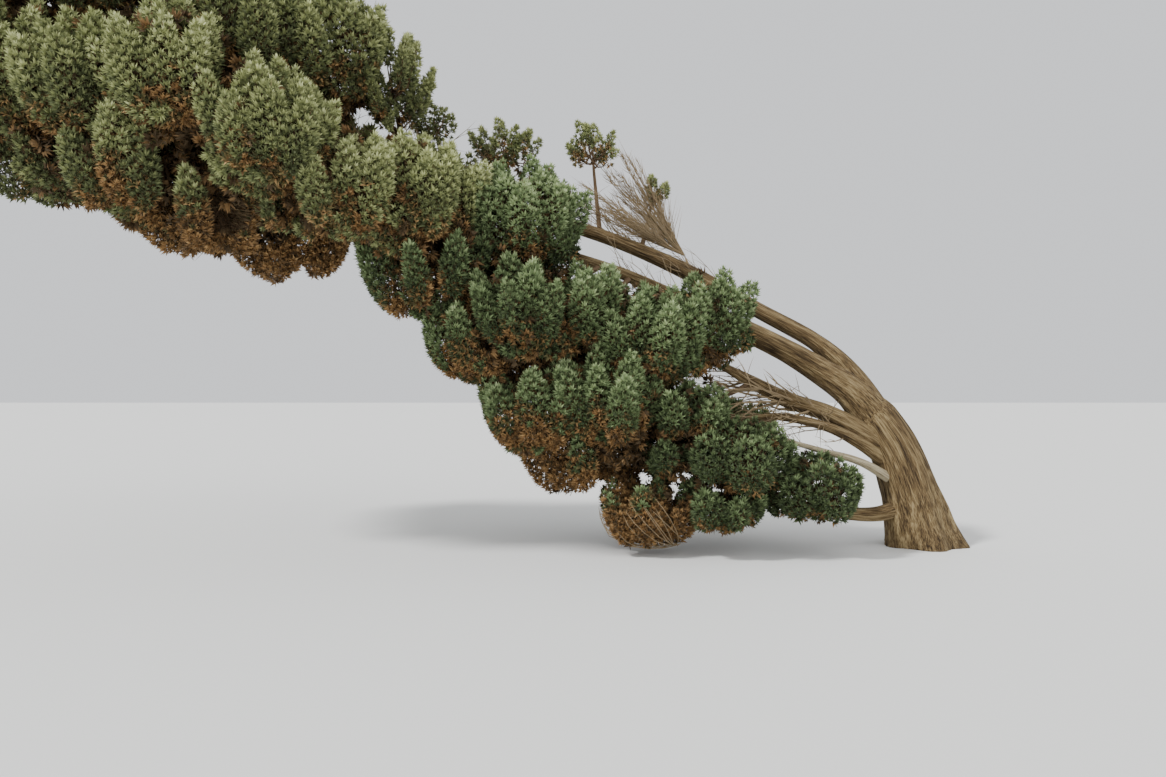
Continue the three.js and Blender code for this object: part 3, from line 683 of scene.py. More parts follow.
def limb_rings(name):
    """A limb's axis, the ways across it, its radius there, and the places along and round it."""
    sides, rings = LIMB_MESH[name]
    axis = LIMB_STARTS.get(name, []) + LIMBS[name] + LIMB_ENDS.get(name, [])
    places, length = smooth_axis(axis, rings)
    normals, binormals = carried_frames(places[:, :3])
    angles = np.arange(sides) * 2 * math.pi / sides
    along = np.linspace(0, length, rings)
    seed = len(name) + BARK_SEED_STEP * rings
    radius = places[:, 3:] * (1 + bark_relief(angles, along, sides, seed))
    if name == "trunk":
        fade = np.clip(1 - along / length / FLARE_HEIGHT, 0, 1)
        radius = radius * (1 + FLARE * fade[:, None] * np.cos(FLARE_LOBES * angles)[None, :])
    across = (normals[:, None, :] * np.cos(angles)[None, :, None]
              - binormals[:, None, :] * np.sin(angles)[None, :, None])
    return places, across, radius, along, angles


def cut_flat_at_ground(mesh_data):
    """Cuts the foot off level with the ground and closes the cut."""
    shape = bmesh.new()
    shape.from_mesh(mesh_data)
    every = shape.verts[:] + shape.edges[:] + shape.faces[:]
    cut = bmesh.ops.bisect_plane(shape, geom=every, plane_co=(0, 0, 0), plane_no=(0, 0, 1),
                                 clear_inner=True)
    rim = [part for part in cut["geom_cut"] if isinstance(part, bmesh.types.BMEdge)]
    bmesh.ops.edgenet_fill(shape, edges=rim)
    bmesh.ops.triangulate(shape, faces=[face for face in shape.faces if len(face.verts) > 4])
    bmesh.ops.recalc_face_normals(shape, faces=shape.faces)
    shape.to_mesh(mesh_data)
    shape.free()


def limb_piece(name, material):
    places, across, radius, along, angles = limb_rings(name)
    rings, sides = radius.shape
    surface = places[:, None, :3] + across * radius[:, :, None]
    vertices = np.vstack([surface.reshape(-1, 3), places[:1, :3], places[-1:, :3]])
    piece = mesh_object(name + "_bark", vertices, tube_faces(rings, sides), [material])
    round_limb = places[:, None, 3:] * np.stack([np.cos(angles), np.sin(angles)], axis=-1)[None]
    grain = np.concatenate([round_limb, np.broadcast_to(along[:, None, None], (rings, sides, 1))], axis=2)
    grain = np.vstack([grain.reshape(-1, 3), [[0, 0, 0]], [[0, 0, along[-1]]]])
    attribute = piece.data.attributes.new("grain", "FLOAT_VECTOR", "POINT")
    attribute.data.foreach_set("vector", grain.astype(np.float32).ravel())
    if name == "trunk":
        cut_flat_at_ground(piece.data)
    else:
        shape = bmesh.new()
        shape.from_mesh(piece.data)
        bmesh.ops.recalc_face_normals(shape, faces=shape.faces)
        shape.to_mesh(piece.data)
        shape.free()
    return smooth_shaded(piece)


# Spaces of the masses
def egg_radius(half, ways):
    return 1 / np.linalg.norm(ways / half, axis=-1)


def limb_samples():
    samples = {}
    for name, axis in LIMBS.items():
        places, length = smooth_axis(axis, AXIS_SAMPLES)
        samples[name] = {"places": places, "length": length}
    return samples


def far_side_of(name, limb):
    on, at, half = MASSES[name]
    centres = limb["places"]
    middle = centres[np.argmin(np.abs(centres[:, 0] - at[0])), 1]
    place = (at[0] + BACK_SHIFT[0], middle + BACK_REACH * (middle - at[1]), at[2] + BACK_SHIFT[2])
    return on, place, tuple(size * BACK_GROWTH for size in half)


def all_masses(limbs):
    """Every mass of the near and the far side, with its egg, its seed and its bounds."""
    table = dict(MASSES)
    for name, across in BACKED.items():
        table[name + "_back"] = far_side_of(name, limbs[across])
    masses = []
    for number, (name, (on, at, half)) in enumerate(table.items()):
        move, trim = TRIMMED.get(name, UNTRIMMED)
        masses.append({"name": name, "on": on, "centre": np.array(at) + move,
                       "half": np.array(half) * EGG_GROWTH - trim,
                       "open": name in OPEN_MASSES, "seed": SEED_STEP * (number + 1)})
    for mass in masses:
        mass["planes"] = bounding_planes(mass, masses)
    return masses


def bounding_planes(mass, masses):
    """Planes that part the mass from each neighbour, by their ways and their distances."""
    ways = []
    offsets = []
    for other in masses:
        way = other["centre"] - mass["centre"]
        distance = np.linalg.norm(way)
        if other is mass or distance > mass["half"].max() + other["half"].max():
            continue
        way = way / distance
        own = egg_radius(mass["half"], way)
        ways.append(way)
        offsets.append(distance * own / (own + egg_radius(other["half"], way)) - SPACE_GAP / 2)
    return np.array(ways).reshape(-1, 3), np.array(offsets)


def space_radius(mass, ways, egg_share=1):
    """How far the mass's space reaches each way: its egg, bounded towards its neighbours."""
    radius = egg_radius(mass["half"], ways) * egg_share
    plane_ways, offsets = mass["planes"]
    if len(offsets):
        lean = ways @ plane_ways.T
        bound = np.where(lean > LEAST_LEAN, offsets / np.maximum(lean, LEAST_LEAN), np.inf)
        radius = np.minimum(radius, bound.min(axis=-1))
    return radius


def inside_space(mass, points):
    local = points - mass["centre"]
    share = np.linalg.norm(local / mass["half"], axis=-1)
    plane_ways, offsets = mass["planes"]
    bounded = (local @ plane_ways.T <= offsets).all(axis=-1)
    return (share <= TIP_REACH) & bounded & (points[..., 2] >= LOWEST_SPRAY)


def crown_depth(points, masses, softness=HULL_SOFTNESS):
    """How deep points lie under a soft hull round all the eggs, in metres."""
    gathered = np.zeros(len(points))
    for mass in masses:
        share = np.linalg.norm((points - mass["centre"]) / mass["half"], axis=1)
        depth = (1 - share) * mass["half"].mean()
        gathered += np.exp(np.minimum(depth, 1) / softness)
    return softness * np.log(np.maximum(gathered, LEAST_SUM))


def in_hollow(points):
    return np.linalg.norm((points - HOLLOW[0]) / HOLLOW[1], axis=1) < 1


def clears_wood(start, end, half_width, wood):
    """Whether a straight stretch keeps away from the limbs' and stems' axes."""
    stretch = end - start
    share = np.clip((wood[:, :3] - start) @ stretch / stretch.dot(stretch), 0, 1)
    nearest = start + share[:, None] * stretch
    gaps = np.linalg.norm(wood[:, :3] - nearest, axis=1)
    return bool((gaps > wood[:, 3] + half_width).all())


# Plumes: where a mass's large and small tufts stand
def stem_start(mass, limb):
    """Where the mass's stem leaves its limb, some way back from the nearest place to the mass."""
    gaps = np.linalg.norm(limb["places"][:, :3] - mass["centre"], axis=1)
    setback = SETBACKS.get(mass["name"], STEM_SETBACK)
    back = int(setback / limb["length"] * (AXIS_SAMPLES - 1) + 0.5)
    return limb["places"][max(int(gaps.argmin()) - back, 1), :3]


def spread_ways(count, chance):
    """Ways out from a middle, spread evenly and then nudged."""
    start = next(chance) * 2 * math.pi
    ways = []
    for i in range(count):
        height = 1 - (2 * i + 1) / count
        ring = math.sqrt(1 - height * height)
        angle = start + GOLDEN_TURN * i
        nudge = [centred(chance) * NUDGE for _ in range(3)]
        ways.append(unit(np.array([ring * math.cos(angle), ring * math.sin(angle), height]) + nudge))
    return ways


def plume_places(mass, chance, per_square_metre, fewest, full_length, full_rise=SPRAY_RISE):
    """Plumes stand all over the open outside of the mass and sweep up along it."""
    area = 4 * math.pi * np.prod(mass["half"]) ** (2 / 3)
    longest = full_length * min(1, mass["half"].max() / FULL_LENGTH_MASS)
    places = []
    for way in spread_ways(round(per_square_metre * area) + fewest, chance):
        length = longest * (1 + centred(chance) * LENGTH_VARIES)
        rise = UNDERSIDE_RISE if way[2] < UNDERSIDE else full_rise
        sweep = unit(way + [0, 0, rise])
        roll = centred(chance) * SPRAY_ROLL
        fork = FIRST_FORK + (1 - FIRST_FORK) * next(chance)
        places.append({"way": way, "sweep": sweep, "length": length, "roll": roll, "fork": fork})
    return places


def how_open(mass, way):
    """1 where the mass faces open air that way, less where a neighbour bounds it."""
    return space_radius(mass, way) / egg_radius(mass["half"], way)


def blade_corners(place, root, length):
    """The furthest points of a plume's toothed outline, as the solids have it."""
    way, sweep, roll = place["way"], place["sweep"], place["roll"]
    level = unit(np.array([-way[1], way[0], 0]))
    side = unit(np.cross(np.cross(level, sweep), sweep))
    side = side * math.cos(roll) + np.cross(sweep, side) * math.sin(roll)
    reach = side * length * SPRAY_HALF_WIDTH
    middle = root + sweep * length * SPRAY_WIDEST
    return np.array([root, middle + reach, middle - reach, root + sweep * length])


def fitted_plume(mass, place, wood):
    """The plume, tried deeper and smaller until it keeps to its space and clear of wood."""
    for size in SPRAY_SIZES:
        for seat in SPRAY_SEATS:
            length = place["length"] * size
            reach = egg_radius(mass["half"], place["way"]) * seat
            root = mass["centre"] + place["way"] * reach - place["sweep"] * SPRAY_BELLY * length
            corners = blade_corners(place, root, length)
            fits = inside_space(mass, corners).all()
            if fits and clears_wood(root, corners[3], length * SPRAY_HALF_WIDTH, wood):
                return {"root": root, "sweep": place["sweep"], "length": length, "fork": place["fork"]}
    return None


def lobe_plume(mass, place, wood):
    """The plume in the middle of a lobe, with its tip at the outside of the mass."""
    length = place["length"]
    tip = mass["centre"] + place["way"] * space_radius(mass, place["way"]) * OPEN_MASS_TIP
    root = tip - place["sweep"] * length
    if min(tip[2], root[2]) < LOWEST_PLUME or not clears_wood(root, tip, PLUME_GAP, wood):
        return None
    return {"root": root, "sweep": place["sweep"], "length": length, "fork": place["fork"]}


def source_plumes(mass, wood):
    """The mass's plumes where the solids have their sprays, and the run of chance after them."""
    chance = seeded(mass["seed"])
    if not mass["open"]:
        for _ in range(CORE_CORNERS):
            next(chance)
    large = plume_places(mass, chance, SPRAYS_PER_SQUARE_METRE, FEWEST_SPRAYS, SPRAY_LENGTH)
    plumes = [fitted_plume(mass, place, wood) for place in large
              if how_open(mass, place["way"]) >= OPEN_SHARE]
    return [plume for plume in plumes if plume], chance


def small_plumes(mass, chance, wood):
    """Plumes all over an open mass, apart from its underside."""
    places = plume_places(mass, chance, SMALL_PLUMES_PER_SQUARE_METRE, FEWEST_SMALL_PLUMES,
                          SMALL_PLUME_LENGTH)
    plumes = [lobe_plume(mass, place, wood) for place in places if place["way"][2] > OPEN_MASS_UNDERSIDE]
    return [plume for plume in plumes if plume]


# Flames: the pointed plumes that make up a dense mass
def hull_reach(mass, ways, masses):
    """How far it is to the soft hull or to the mass's bounds, and how deep that place lies."""
    egg = egg_radius(mass["half"], ways)
    bound = space_radius(mass, ways, BEYOND_EGG)
    reach = np.minimum(egg, bound)
    for _ in range(HULL_ROUNDS):
        reach = np.minimum(reach + crown_depth(mass["centre"] + ways * reach[:, None], masses), bound)
    return reach, crown_depth(mass["centre"] + ways * reach[:, None], masses)


def seated_flame(mass, place, out, chance):
    """A flame with its belly on the hull, which lies this far out from the mass's middle."""
    way, sweep, length = place["way"], place["sweep"], place["length"]
    radius = length * FLAME_RADIUS * (1 + FLAME_RADIUS_VARIES * place["roll"])
    sink = radius * FLAME_SINK + SINK_VARIES * centred(chance)
    seat = FLAME_SEAT + (FLAME_SEAT_ON_TOP if way[2] > 0 else FLAME_SEAT_BELOW) * way[2]
    if mass["name"] in FLAT_MASSES:
        length = length * FLAT_FLAME
        radius = radius * FLAT_FLAME_WIDTH
        sink = radius * FLAT_FLAME_SINK
    if way[2] < UNDERSIDE:
        sweep = unit(way * UNDERSIDE_LEAN + UNDERSIDE_WAY)
        length = length * UNDERSIDE_FLAME
        sink = radius * UNDERSIDE_SINK
        seat = FLAME_SEAT
    root = mass["centre"] + way * (out - sink) - sweep * length * seat
    return {"root": root, "sweep": sweep, "length": length, "radius": radius, "fork": place["fork"]}


def mass_flames(mass, plumes, chance, masses):
    """Flames at the plumes that the solids have, and more of them between, seated on the hull."""
    flames = [{**plume, "radius": plume["length"] * FLAME_RADIUS} for plume in plumes]
    places = plume_places(mass, chance, FLAMES_PER_SQUARE_METRE, FEWEST_FLAMES, FLAME_LENGTH, FLAME_RISE)
    reach, depths = hull_reach(mass, np.array([place["way"] for place in places]), masses)
    for place, out, depth in zip(places, reach, depths):
        if depth <= OUTSIDE_DEPTH:
            flames.append(seated_flame(mass, place, out, chance))
    return [{**flame, "on": mass["name"]} for flame in flames]


def flame_profile(share):
    """A flame's radius along it, as a share of its radius at its widest."""
    low, high = FLAME_POWERS
    widest = low / (low + high)
    return (np.clip(share, 0, 1) / widest) ** low * (np.clip(1 - share, 0, 1) / (1 - widest)) ** high


def buried(points, flames):
    """Whether each place lies inside some flame."""
    roots = np.array([flame["root"] for flame in flames])
    sweeps = np.array([flame["sweep"] for flame in flames])
    lengths = np.array([flame["length"] for flame in flames])
    radii = np.array([flame["radius"] for flame in flames])
    local = points[:, None, :] - roots
    along = (local * sweeps).sum(axis=2)
    across = np.sqrt(np.maximum((local ** 2).sum(axis=2) - along ** 2, 0))
    return (across < FLAME_BURIED * radii * flame_profile(along / lengths)).any(axis=1)


def slack_box():
    """The solids' box, with the little that sprays may pass it by."""
    return np.array(solid_box[0]) - BOX_SLACK, np.array(solid_box[1]) + BOX_SLACK


def eased_into_box(points):
    """Points near or past a side of the solids' box, drawn in smoothly to stay inside it."""
    low, high = slack_box()
    past_low = np.minimum(points - (low + BOX_EASE), 0)
    past_high = np.maximum(points - (high - BOX_EASE), 0)
    points = points - past_low + BOX_EASE * (np.exp(past_low / BOX_EASE) - 1)
    return points - past_high + BOX_EASE * (1 - np.exp(-past_high / BOX_EASE))


def wound_round(sweep, count, chance):
    """Ways across a plume that wind evenly round it."""
    turn = np.arange(count) * GOLDEN_TURN + chance.random() * 2 * math.pi
    across = unit(np.cross(sweep, SIDEWAYS))
    return across * np.cos(turn)[:, None] + np.cross(sweep, across) * np.sin(turn)[:, None]


def flame_tufts(flame, per_square_metre, depth, share, chance):
    """Tufts wind evenly round the flame, tilted up more and more towards its tip."""
    grid = np.linspace(0, 1, PROFILE_STEPS)
    grown = np.cumsum(flame_profile(grid))
    area = 2 * math.pi * flame["radius"] * flame["length"] * flame_profile(grid).mean()
    count = max(FEWEST_TUFTS, int(area * per_square_metre * share))
    along = np.interp((np.arange(count) + 0.5) / count * grown[-1], grown, grid)
    sweep = flame["sweep"]
    outward = wound_round(sweep, count, chance)
    outside = (flame["root"] + sweep * (along * flame["length"])[:, None]
               + outward * (flame["radius"] * flame_profile(along))[:, None])
    tilt = between(TUFT_TILT, along)
    ways = unit(outward * np.cos(tilt)[:, None] + sweep * np.sin(tilt)[:, None] + TUFT_RISE
                + chance.normal(0, TUFT_SCATTER, (count, 3)))
    size = TUFT_SIZE / math.sqrt(share) * chance.uniform(*TUFT_SIZES, count)
    tips = eased_into_box(outside - outward * depth)
    return {"base": tips - ways * size[:, None], "way": ways, "size": size, "share": along,
            "shade": np.full(count, flame["shade"]), "outside": outside}


def mass_tufts(mass, flames, masses, chance, per_square_metre, depth):
    """The tufts of all the mass's flames that no other flame hides and that lie near the hull."""
    share = FAR_SIDE_SHARE if mass["name"].endswith("_back") else 1
    rows = joined([flame_tufts(flame, per_square_metre, depth, share, chance)
                   for flame in flames if flame["on"] == mass["name"]])
    outside = rows.pop("outside")
    rows["sunk"] = crown_depth(outside, masses)
    return kept(rows, (rows["sunk"] < SUNK_DEPTH) & ~in_hollow(outside) & ~buried(outside, flames))


# Sprays round a plume
def plume_sprays(plume, chance):
    """Sprays wind round the plume, wide open at its foot and closing towards its tip."""
    length, sweep = plume["length"], plume["sweep"]
    crowding = SPRAYS_ON_ANY_PLUME + SPRAYS_BY_LENGTH * length / SPRAY_LENGTH
    count = max(FEWEST_ON_PLUME, int(length * SPRAYS_PER_METRE * crowding))
    share = (np.arange(count) + 0.5) / count
    outward = wound_round(sweep, count, chance)
    opening = between(OPENINGS, share ** OPENING_POWER) + chance.normal(0, OPENING_SCATTER, count)
    ways = unit(sweep * np.cos(opening)[:, None] + outward * np.sin(opening)[:, None]
                + SPRAY_LIFT + chance.normal(0, SPRAY_SCATTER, (count, 3)))
    full_size = SPRAY_SIZE * (SIZE_ON_ANY_PLUME + SIZE_BY_LENGTH * length / SPRAY_LENGTH)
    size = full_size * (SMALLEST_SPRAY + SPRAY_SIZE_VARIES * chance.random(count))
    along = length * (FIRST_SPRAY + SPRAYED_STRETCH * share) - size * SPRAY_SETBACK
    return {"base": plume["root"] + sweep * along[:, None], "way": ways, "size": size, "share": share,
            "shade": np.full(count, chance.normal(0, SHADE_VARIES)), "sunk": np.zeros(count)}


def places_inside(mass, masses, per_cubic_metre, chance):
    """Places all through the mass and beside it, its own share of them and none in the hollow."""
    reach = mass["half"] * INNER_REACH
    count = int(8 * np.prod(reach) * per_cubic_metre)
    places = mass["centre"] + chance.uniform(-1, 1, (count, 3)) * reach
    shares = [np.linalg.norm((places - other["centre"]) / other["half"], axis=1) for other in masses]
    own = np.linalg.norm((places - mass["centre"]) / mass["half"], axis=1) <= np.min(shares, axis=0)
    return places[own & ~in_hollow(places)]


def dead_and_shadow_sprays(middles, length, tint, chance):
    """Sprays that point every way, with their middles at these places, in the tints given, which are dead
    brown and a painted shadow colour.
    """
    count = len(middles)
    size = length * chance.uniform(*DEAD_SIZES, count)
    leans = unit(chance.normal(0, 1, (count, 3)))
    return {"base": middles - leans * size[:, None] / 2, "way": leans, "size": size, "tint": tint,
            "kind": chance.integers(0, INNER_KINDS, count)}


def inner_sprays(mass, masses, chance):
    """Sprays all through a dense mass and into the gaps beside it, which close the view: some dead brown near
    the outside, the rest in a painted shadow colour.
    """
    middles = places_inside(mass, masses, INNER_SPRAYS_PER_CUBIC_METRE, chance)
    depth = crown_depth(middles, masses, FILL_SOFTNESS)
    shown = (depth > INNER_DEPTHS[0]) & (depth < INNER_DEPTHS[1])
    middles, depth = middles[shown], depth[shown]
    brown = (depth < BROWN_DEPTH) & (chance.random(len(middles)) < BROWN_SHARE)
    return dead_and_shadow_sprays(middles, INNER_SPRAY_SIZE, np.where(brown, DEAD_TINT, SHADOW_TINT), chance)


def skin_sprays(mass, masses, chance):
    """Small sprays in a painted shadow colour just under the leaves of a flat mass, which close the view
    through it.
    """
    middles = places_inside(mass, masses, SKIN_SPRAYS_PER_CUBIC_METRE, chance)
    depth = crown_depth(middles, masses, NO_SOFTNESS)
    middles = middles[(depth > SKIN_DEPTHS[0]) & (depth < SKIN_DEPTHS[1])]
    return dead_and_shadow_sprays(middles, SKIN_SPRAY_SIZE, np.full(len(middles), SHADOW_TINT), chance)


def spray_tints(mass, sprays, chance):
    """Rust low down and in creases, in patches, then deep to fresh green up to the lit tips: painted light
    high up and towards the tips, painted shade in creases.
    """
    tips = sprays["base"] + sprays["way"] * sprays["size"][:, None]
    height = np.clip((tips - mass["centre"])[:, 2] / mass["half"][2], -1, 1)
    count = len(height)
    sunk = np.clip(sprays["sunk"] / SUNK_DEPTH, 0, 1)
    # Rust in creases is partly painted shade
    rust = (RUST_SHARE.get(mass["name"], 0) + RUST_ANYWHERE - RUST_LOW_DOWN * height
            + RUST_AND_SHADE_IN_CREASES * sunk - RUST_AT_FOOT * (sprays["share"] - RUST_FOOT_END)
            + RUST_BY_SHADE * sprays["shade"] + chance.normal(0, RUST_SCATTER, count))
    # Painted light: greens lighter high up, towards the tips and on the masses given; painted shade: darker
    # in creases
    light = (MIDDLE_GREEN_TINT + PAINTED_LIGHT_AND_TONE.get(mass["name"], 0) + PAINTED_LIGHT_HIGH_UP * height
             + PAINTED_LIGHT_AT_TIP * (sprays["share"] - LIGHT_TIP_START) + LIGHT_BY_SHADE * sprays["shade"]
             - PAINTED_SHADE_IN_CREASES * sunk + chance.normal(0, LIGHT_SCATTER, count))
    green = np.clip(np.round(light), FIRST_GREEN_TINT, LAST_GREEN_TINT)
    living = np.where(rust > TURNING_LEVEL, TURNING_TINT, green) + COOL_GREENS * (mass["name"] in COOL_MASSES)
    dead = np.where(chance.random(count) < DEAD_AMONG_RUST, DEAD_TINT, RUST_TINT)
    return np.where(rust > RUST_LEVEL, dead, living)


def within_limits(rows):
    """Whether each spray keeps to the solids' box and off the ground."""
    tips = rows["base"] + rows["way"] * rows["size"][:, None]
    low, high = slack_box()
    low[2] = LOWEST_LEAF
    return ((tips > low) & (tips < high) & (rows["base"] > low)).all(axis=1)


def painted(mass, rows, chance, first_kind, kinds):
    """The rows within the limits, with their colours and shapes."""
    rows = kept(rows, within_limits(rows))
    tint = spray_tints(mass, rows, chance)
    kind = first_kind + chance.integers(0, kinds, len(tint))
    return {"base": rows["base"], "way": rows["way"], "size": rows["size"], "tint": tint, "kind": kind}


def mass_sprays(mass, plumes, flames, masses, wood):
    """All sprays of the mass: round its plumes if it is open, else on its flames and inside it."""
    chance = np.random.default_rng(mass["seed"])
    if mass["open"]:
        rows = joined([plume_sprays(plume, chance) for plume in plumes])
        return painted(mass, rows, chance, FIRST_FINE_KIND, FINE_KINDS)
    outer = mass_tufts(mass, flames, masses, chance, TUFTS_PER_SQUARE_METRE, 0)
    under = mass_tufts(mass, flames, masses, chance, UNDER_TUFTS_PER_SQUARE_METRE, UNDER_TUFT_DEPTH)
    batches = [painted(mass, outer, chance, FIRST_FINE_KIND, FINE_KINDS),
               painted(mass, under, chance, FIRST_PLAIN_KIND, PLAIN_KINDS),
               inner_sprays(mass, masses, chance)]
    if mass["name"] in FLAT_MASSES:
        batches.append(skin_sprays(mass, masses, chance))
    rows = joined(batches)
    gaps = np.linalg.norm(rows["base"][:, None, :] - wood[None, :, :3], axis=2) - wood[None, :, 3]
    return kept(rows, (gaps.min(axis=1) > WOOD_GAP) & (rows["base"][:, 2] > LOWEST_LEAF))


# Shapes of the sprays themselves
def spray_shape(name, leaves, leaf_length, leaf_width, seed):
    """A spray one unit long: pointed leaves set all over a rounded head, on a stem that runs up +Z."""
    chance = np.random.default_rng(seed)
    up = np.array([0, 0, 1])
    share = (np.arange(leaves) + 0.5) / leaves
    turn = np.arange(leaves) * GOLDEN_TURN + chance.normal(0, TURN_SCATTER, leaves)
    opening = np.radians(HEAD_WIDEST - HEAD_CLOSING * share) + chance.normal(0, HEAD_SCATTER, leaves)
    level = np.stack([-np.sin(turn), np.cos(turn), np.zeros(leaves)], axis=1)
    outward = np.cross(level, up)
    places = outward * np.sin(opening)[:, None] + up * np.cos(opening)[:, None]
    ways = unit(places + up * LEAF_LIFT)
    roll = chance.normal(0, LEAF_ROLL, leaves)
    sides = level * np.cos(roll)[:, None] + np.cross(ways, level) * np.sin(roll)[:, None]
    roots = up * HEAD_MIDDLE + places * HEAD_RADIUS
    length = leaf_length * chance.uniform(*LEAF_LENGTHS, leaves)
    reach = sides * leaf_width / 2
    corners = np.stack([roots - reach, roots + reach, roots + ways * length[:, None]], axis=1)
    # Lighter towards the tip: partly the leaves' own colour, partly painted shade at the foot and painted
    # light at the tip
    lighter = TIP_LIGHTER * share - FOOT_DARKER + chance.normal(0, LEAF_SPECKLE, leaves)
    piece = mesh_object(name, corners.reshape(-1, 3), np.arange(3 * leaves).reshape(-1, 3).tolist(), [])
    attribute = piece.data.attributes.new("part", "FLOAT", "FACE")
    attribute.data.foreach_set("value", np.clip(np.round(lighter), -1, 1))
    return piece


def spray_shapes():
    """The shapes in the order of their kinds."""
    shapes = []
    for label, kinds, leaves in (("inner", INNER_KINDS, INNER_LEAVES), ("plain", PLAIN_KINDS, PLAIN_LEAVES),
                                 ("fine", FINE_KINDS, FINE_LEAVES)):
        for i in range(kinds):
            shapes.append(spray_shape(f"{label}_{i}", *leaves, FIRST_SHAPE_SEED + len(shapes)))
    return shapes


def shape_collection(name, shapes):
    shelf = bpy.data.collections.new(name)
    for shape in shapes:
        shelf.objects.link(shape)
        bpy.context.scene.collection.objects.unlink(shape)
    return shelf


# Nodes, for the sprays' places and for bark
def added(tree, kind, inputs, **settings):
    """A new node, with each of its inputs linked to another node or given a plain value."""
    node = tree.nodes.new(kind)
    for name, value in settings.items():
        setattr(node, name, value)
    for socket, value in inputs.items():
        if isinstance(value, bpy.types.NodeSocket):
            tree.links.new(value, node.inputs[socket])
        else:
            node.inputs[socket].default_value = value
    return node


def set_by_number(tree, pieces, number, materials):
    """Gives each face the material of its own number."""
    for place, material in enumerate(materials):
        match = added(tree, "ShaderNodeMath", {0: number, 1: place, 2: TINT_MATCH}, operation="COMPARE")
        paint = added(tree, "GeometryNodeSetMaterial",
                      {"Geometry": pieces, "Selection": match.outputs[0], "Material": material})
        pieces = paint.outputs["Geometry"]
    return pieces


def scatter_tree(name, materials):
    """A tree that sets shapes on places, each turned, sized and tinted by its place's attributes."""
    tree = bpy.data.node_groups.new(name, "GeometryNodeTree")
    for label, kind in (("Places", "Geometry"), ("Shapes", "Collection"), ("Growth", "Float")):
        tree.interface.new_socket(label, in_out="INPUT", socket_type="NodeSocket" + kind)
    tree.interface.new_socket("Pieces", in_out="OUTPUT", socket_type="NodeSocketGeometry")
    given = tree.nodes.new("NodeGroupInput")

    def named(attribute, kind="FLOAT"):
        node = added(tree, "GeometryNodeInputNamedAttribute", {"Name": attribute}, data_type=kind)
        return node.outputs["Attribute"]

    shapes = added(tree, "GeometryNodeCollectionInfo",
                   {"Collection": given.outputs["Shapes"], "Separate Children": True, "Reset Children": True})
    aim = added(tree, "FunctionNodeAlignRotationToVector", {"Vector": named("way", "FLOAT_VECTOR")})
    roll = added(tree, "FunctionNodeAxisAngleToRotation", {"Angle": named("roll")})
    turn = added(tree, "FunctionNodeRotateRotation",
                 {"Rotation": aim.outputs["Rotation"], "Rotate By": roll.outputs["Rotation"]},
                 rotation_space="LOCAL")
    grow = added(tree, "ShaderNodeMath", {0: named("size"), 1: given.outputs["Growth"]},
                 operation="MULTIPLY")
    place = added(tree, "GeometryNodeInstanceOnPoints",
                  {"Points": given.outputs["Places"], "Instance": shapes.outputs["Instances"],
                   "Pick Instance": True, "Instance Index": named("kind", "INT"),
                   "Rotation": turn.outputs["Rotation"], "Scale": grow.outputs[0]})
    real = added(tree, "GeometryNodeRealizeInstances", {"Geometry": place.outputs["Instances"]})
    colour = added(tree, "ShaderNodeMath", {0: named("tint"), 1: named("part")}, operation="ADD")
    number = added(tree, "ShaderNodeMath", {0: colour.outputs[0], 1: 0}, operation="MAXIMUM")
    pieces = set_by_number(tree, real.outputs["Geometry"], number.outputs[0], materials)
    tree.links.new(pieces, tree.nodes.new("NodeGroupOutput").inputs["Pieces"])
    return tree


def scattered(name, tree, shelf, rows):
    """A plain mesh of the shapes set on the given places."""
    places = bpy.data.meshes.new(name + "_places")
    places.from_pydata(rows["base"].tolist(), [], [])
    roll = np.arange(len(rows["size"])) * ROLL_STEP
    fields = (("way", "FLOAT_VECTOR", rows["way"]), ("roll", "FLOAT", roll), ("size", "FLOAT", rows["size"]),
              ("kind", "INT", rows["kind"]), ("tint", "FLOAT", rows["tint"]))
    for key, kind, values in fields:
        attribute = places.attributes.new(key, kind, "POINT")
        field = "vector" if kind == "FLOAT_VECTOR" else "value"
        number = np.int32 if kind == "INT" else np.float32
        attribute.data.foreach_set(field, np.asarray(values).astype(number).ravel())
    holder = bpy.data.objects.new(name, places)
    bpy.context.scene.collection.objects.link(holder)
    modifier = holder.modifiers.new("scatter", "NODES")
    modifier.node_group = tree
    sockets = {item.name: item.identifier for item in tree.interface.items_tree if item.in_out == "INPUT"}
    modifier[sockets["Shapes"]] = shelf
    modifier[sockets["Growth"]] = SPRAY_GROWTH
    evaluated = holder.evaluated_get(bpy.context.evaluated_depsgraph_get())
    mesh = bpy.data.meshes.new_from_object(evaluated)
    holder.modifiers.clear()
    holder.data = mesh
    mesh.name = name
    for key in [field[0] for field in fields] + ["part"]:
        if key in mesh.attributes:
            mesh.attributes.remove(mesh.attributes[key])
    return holder


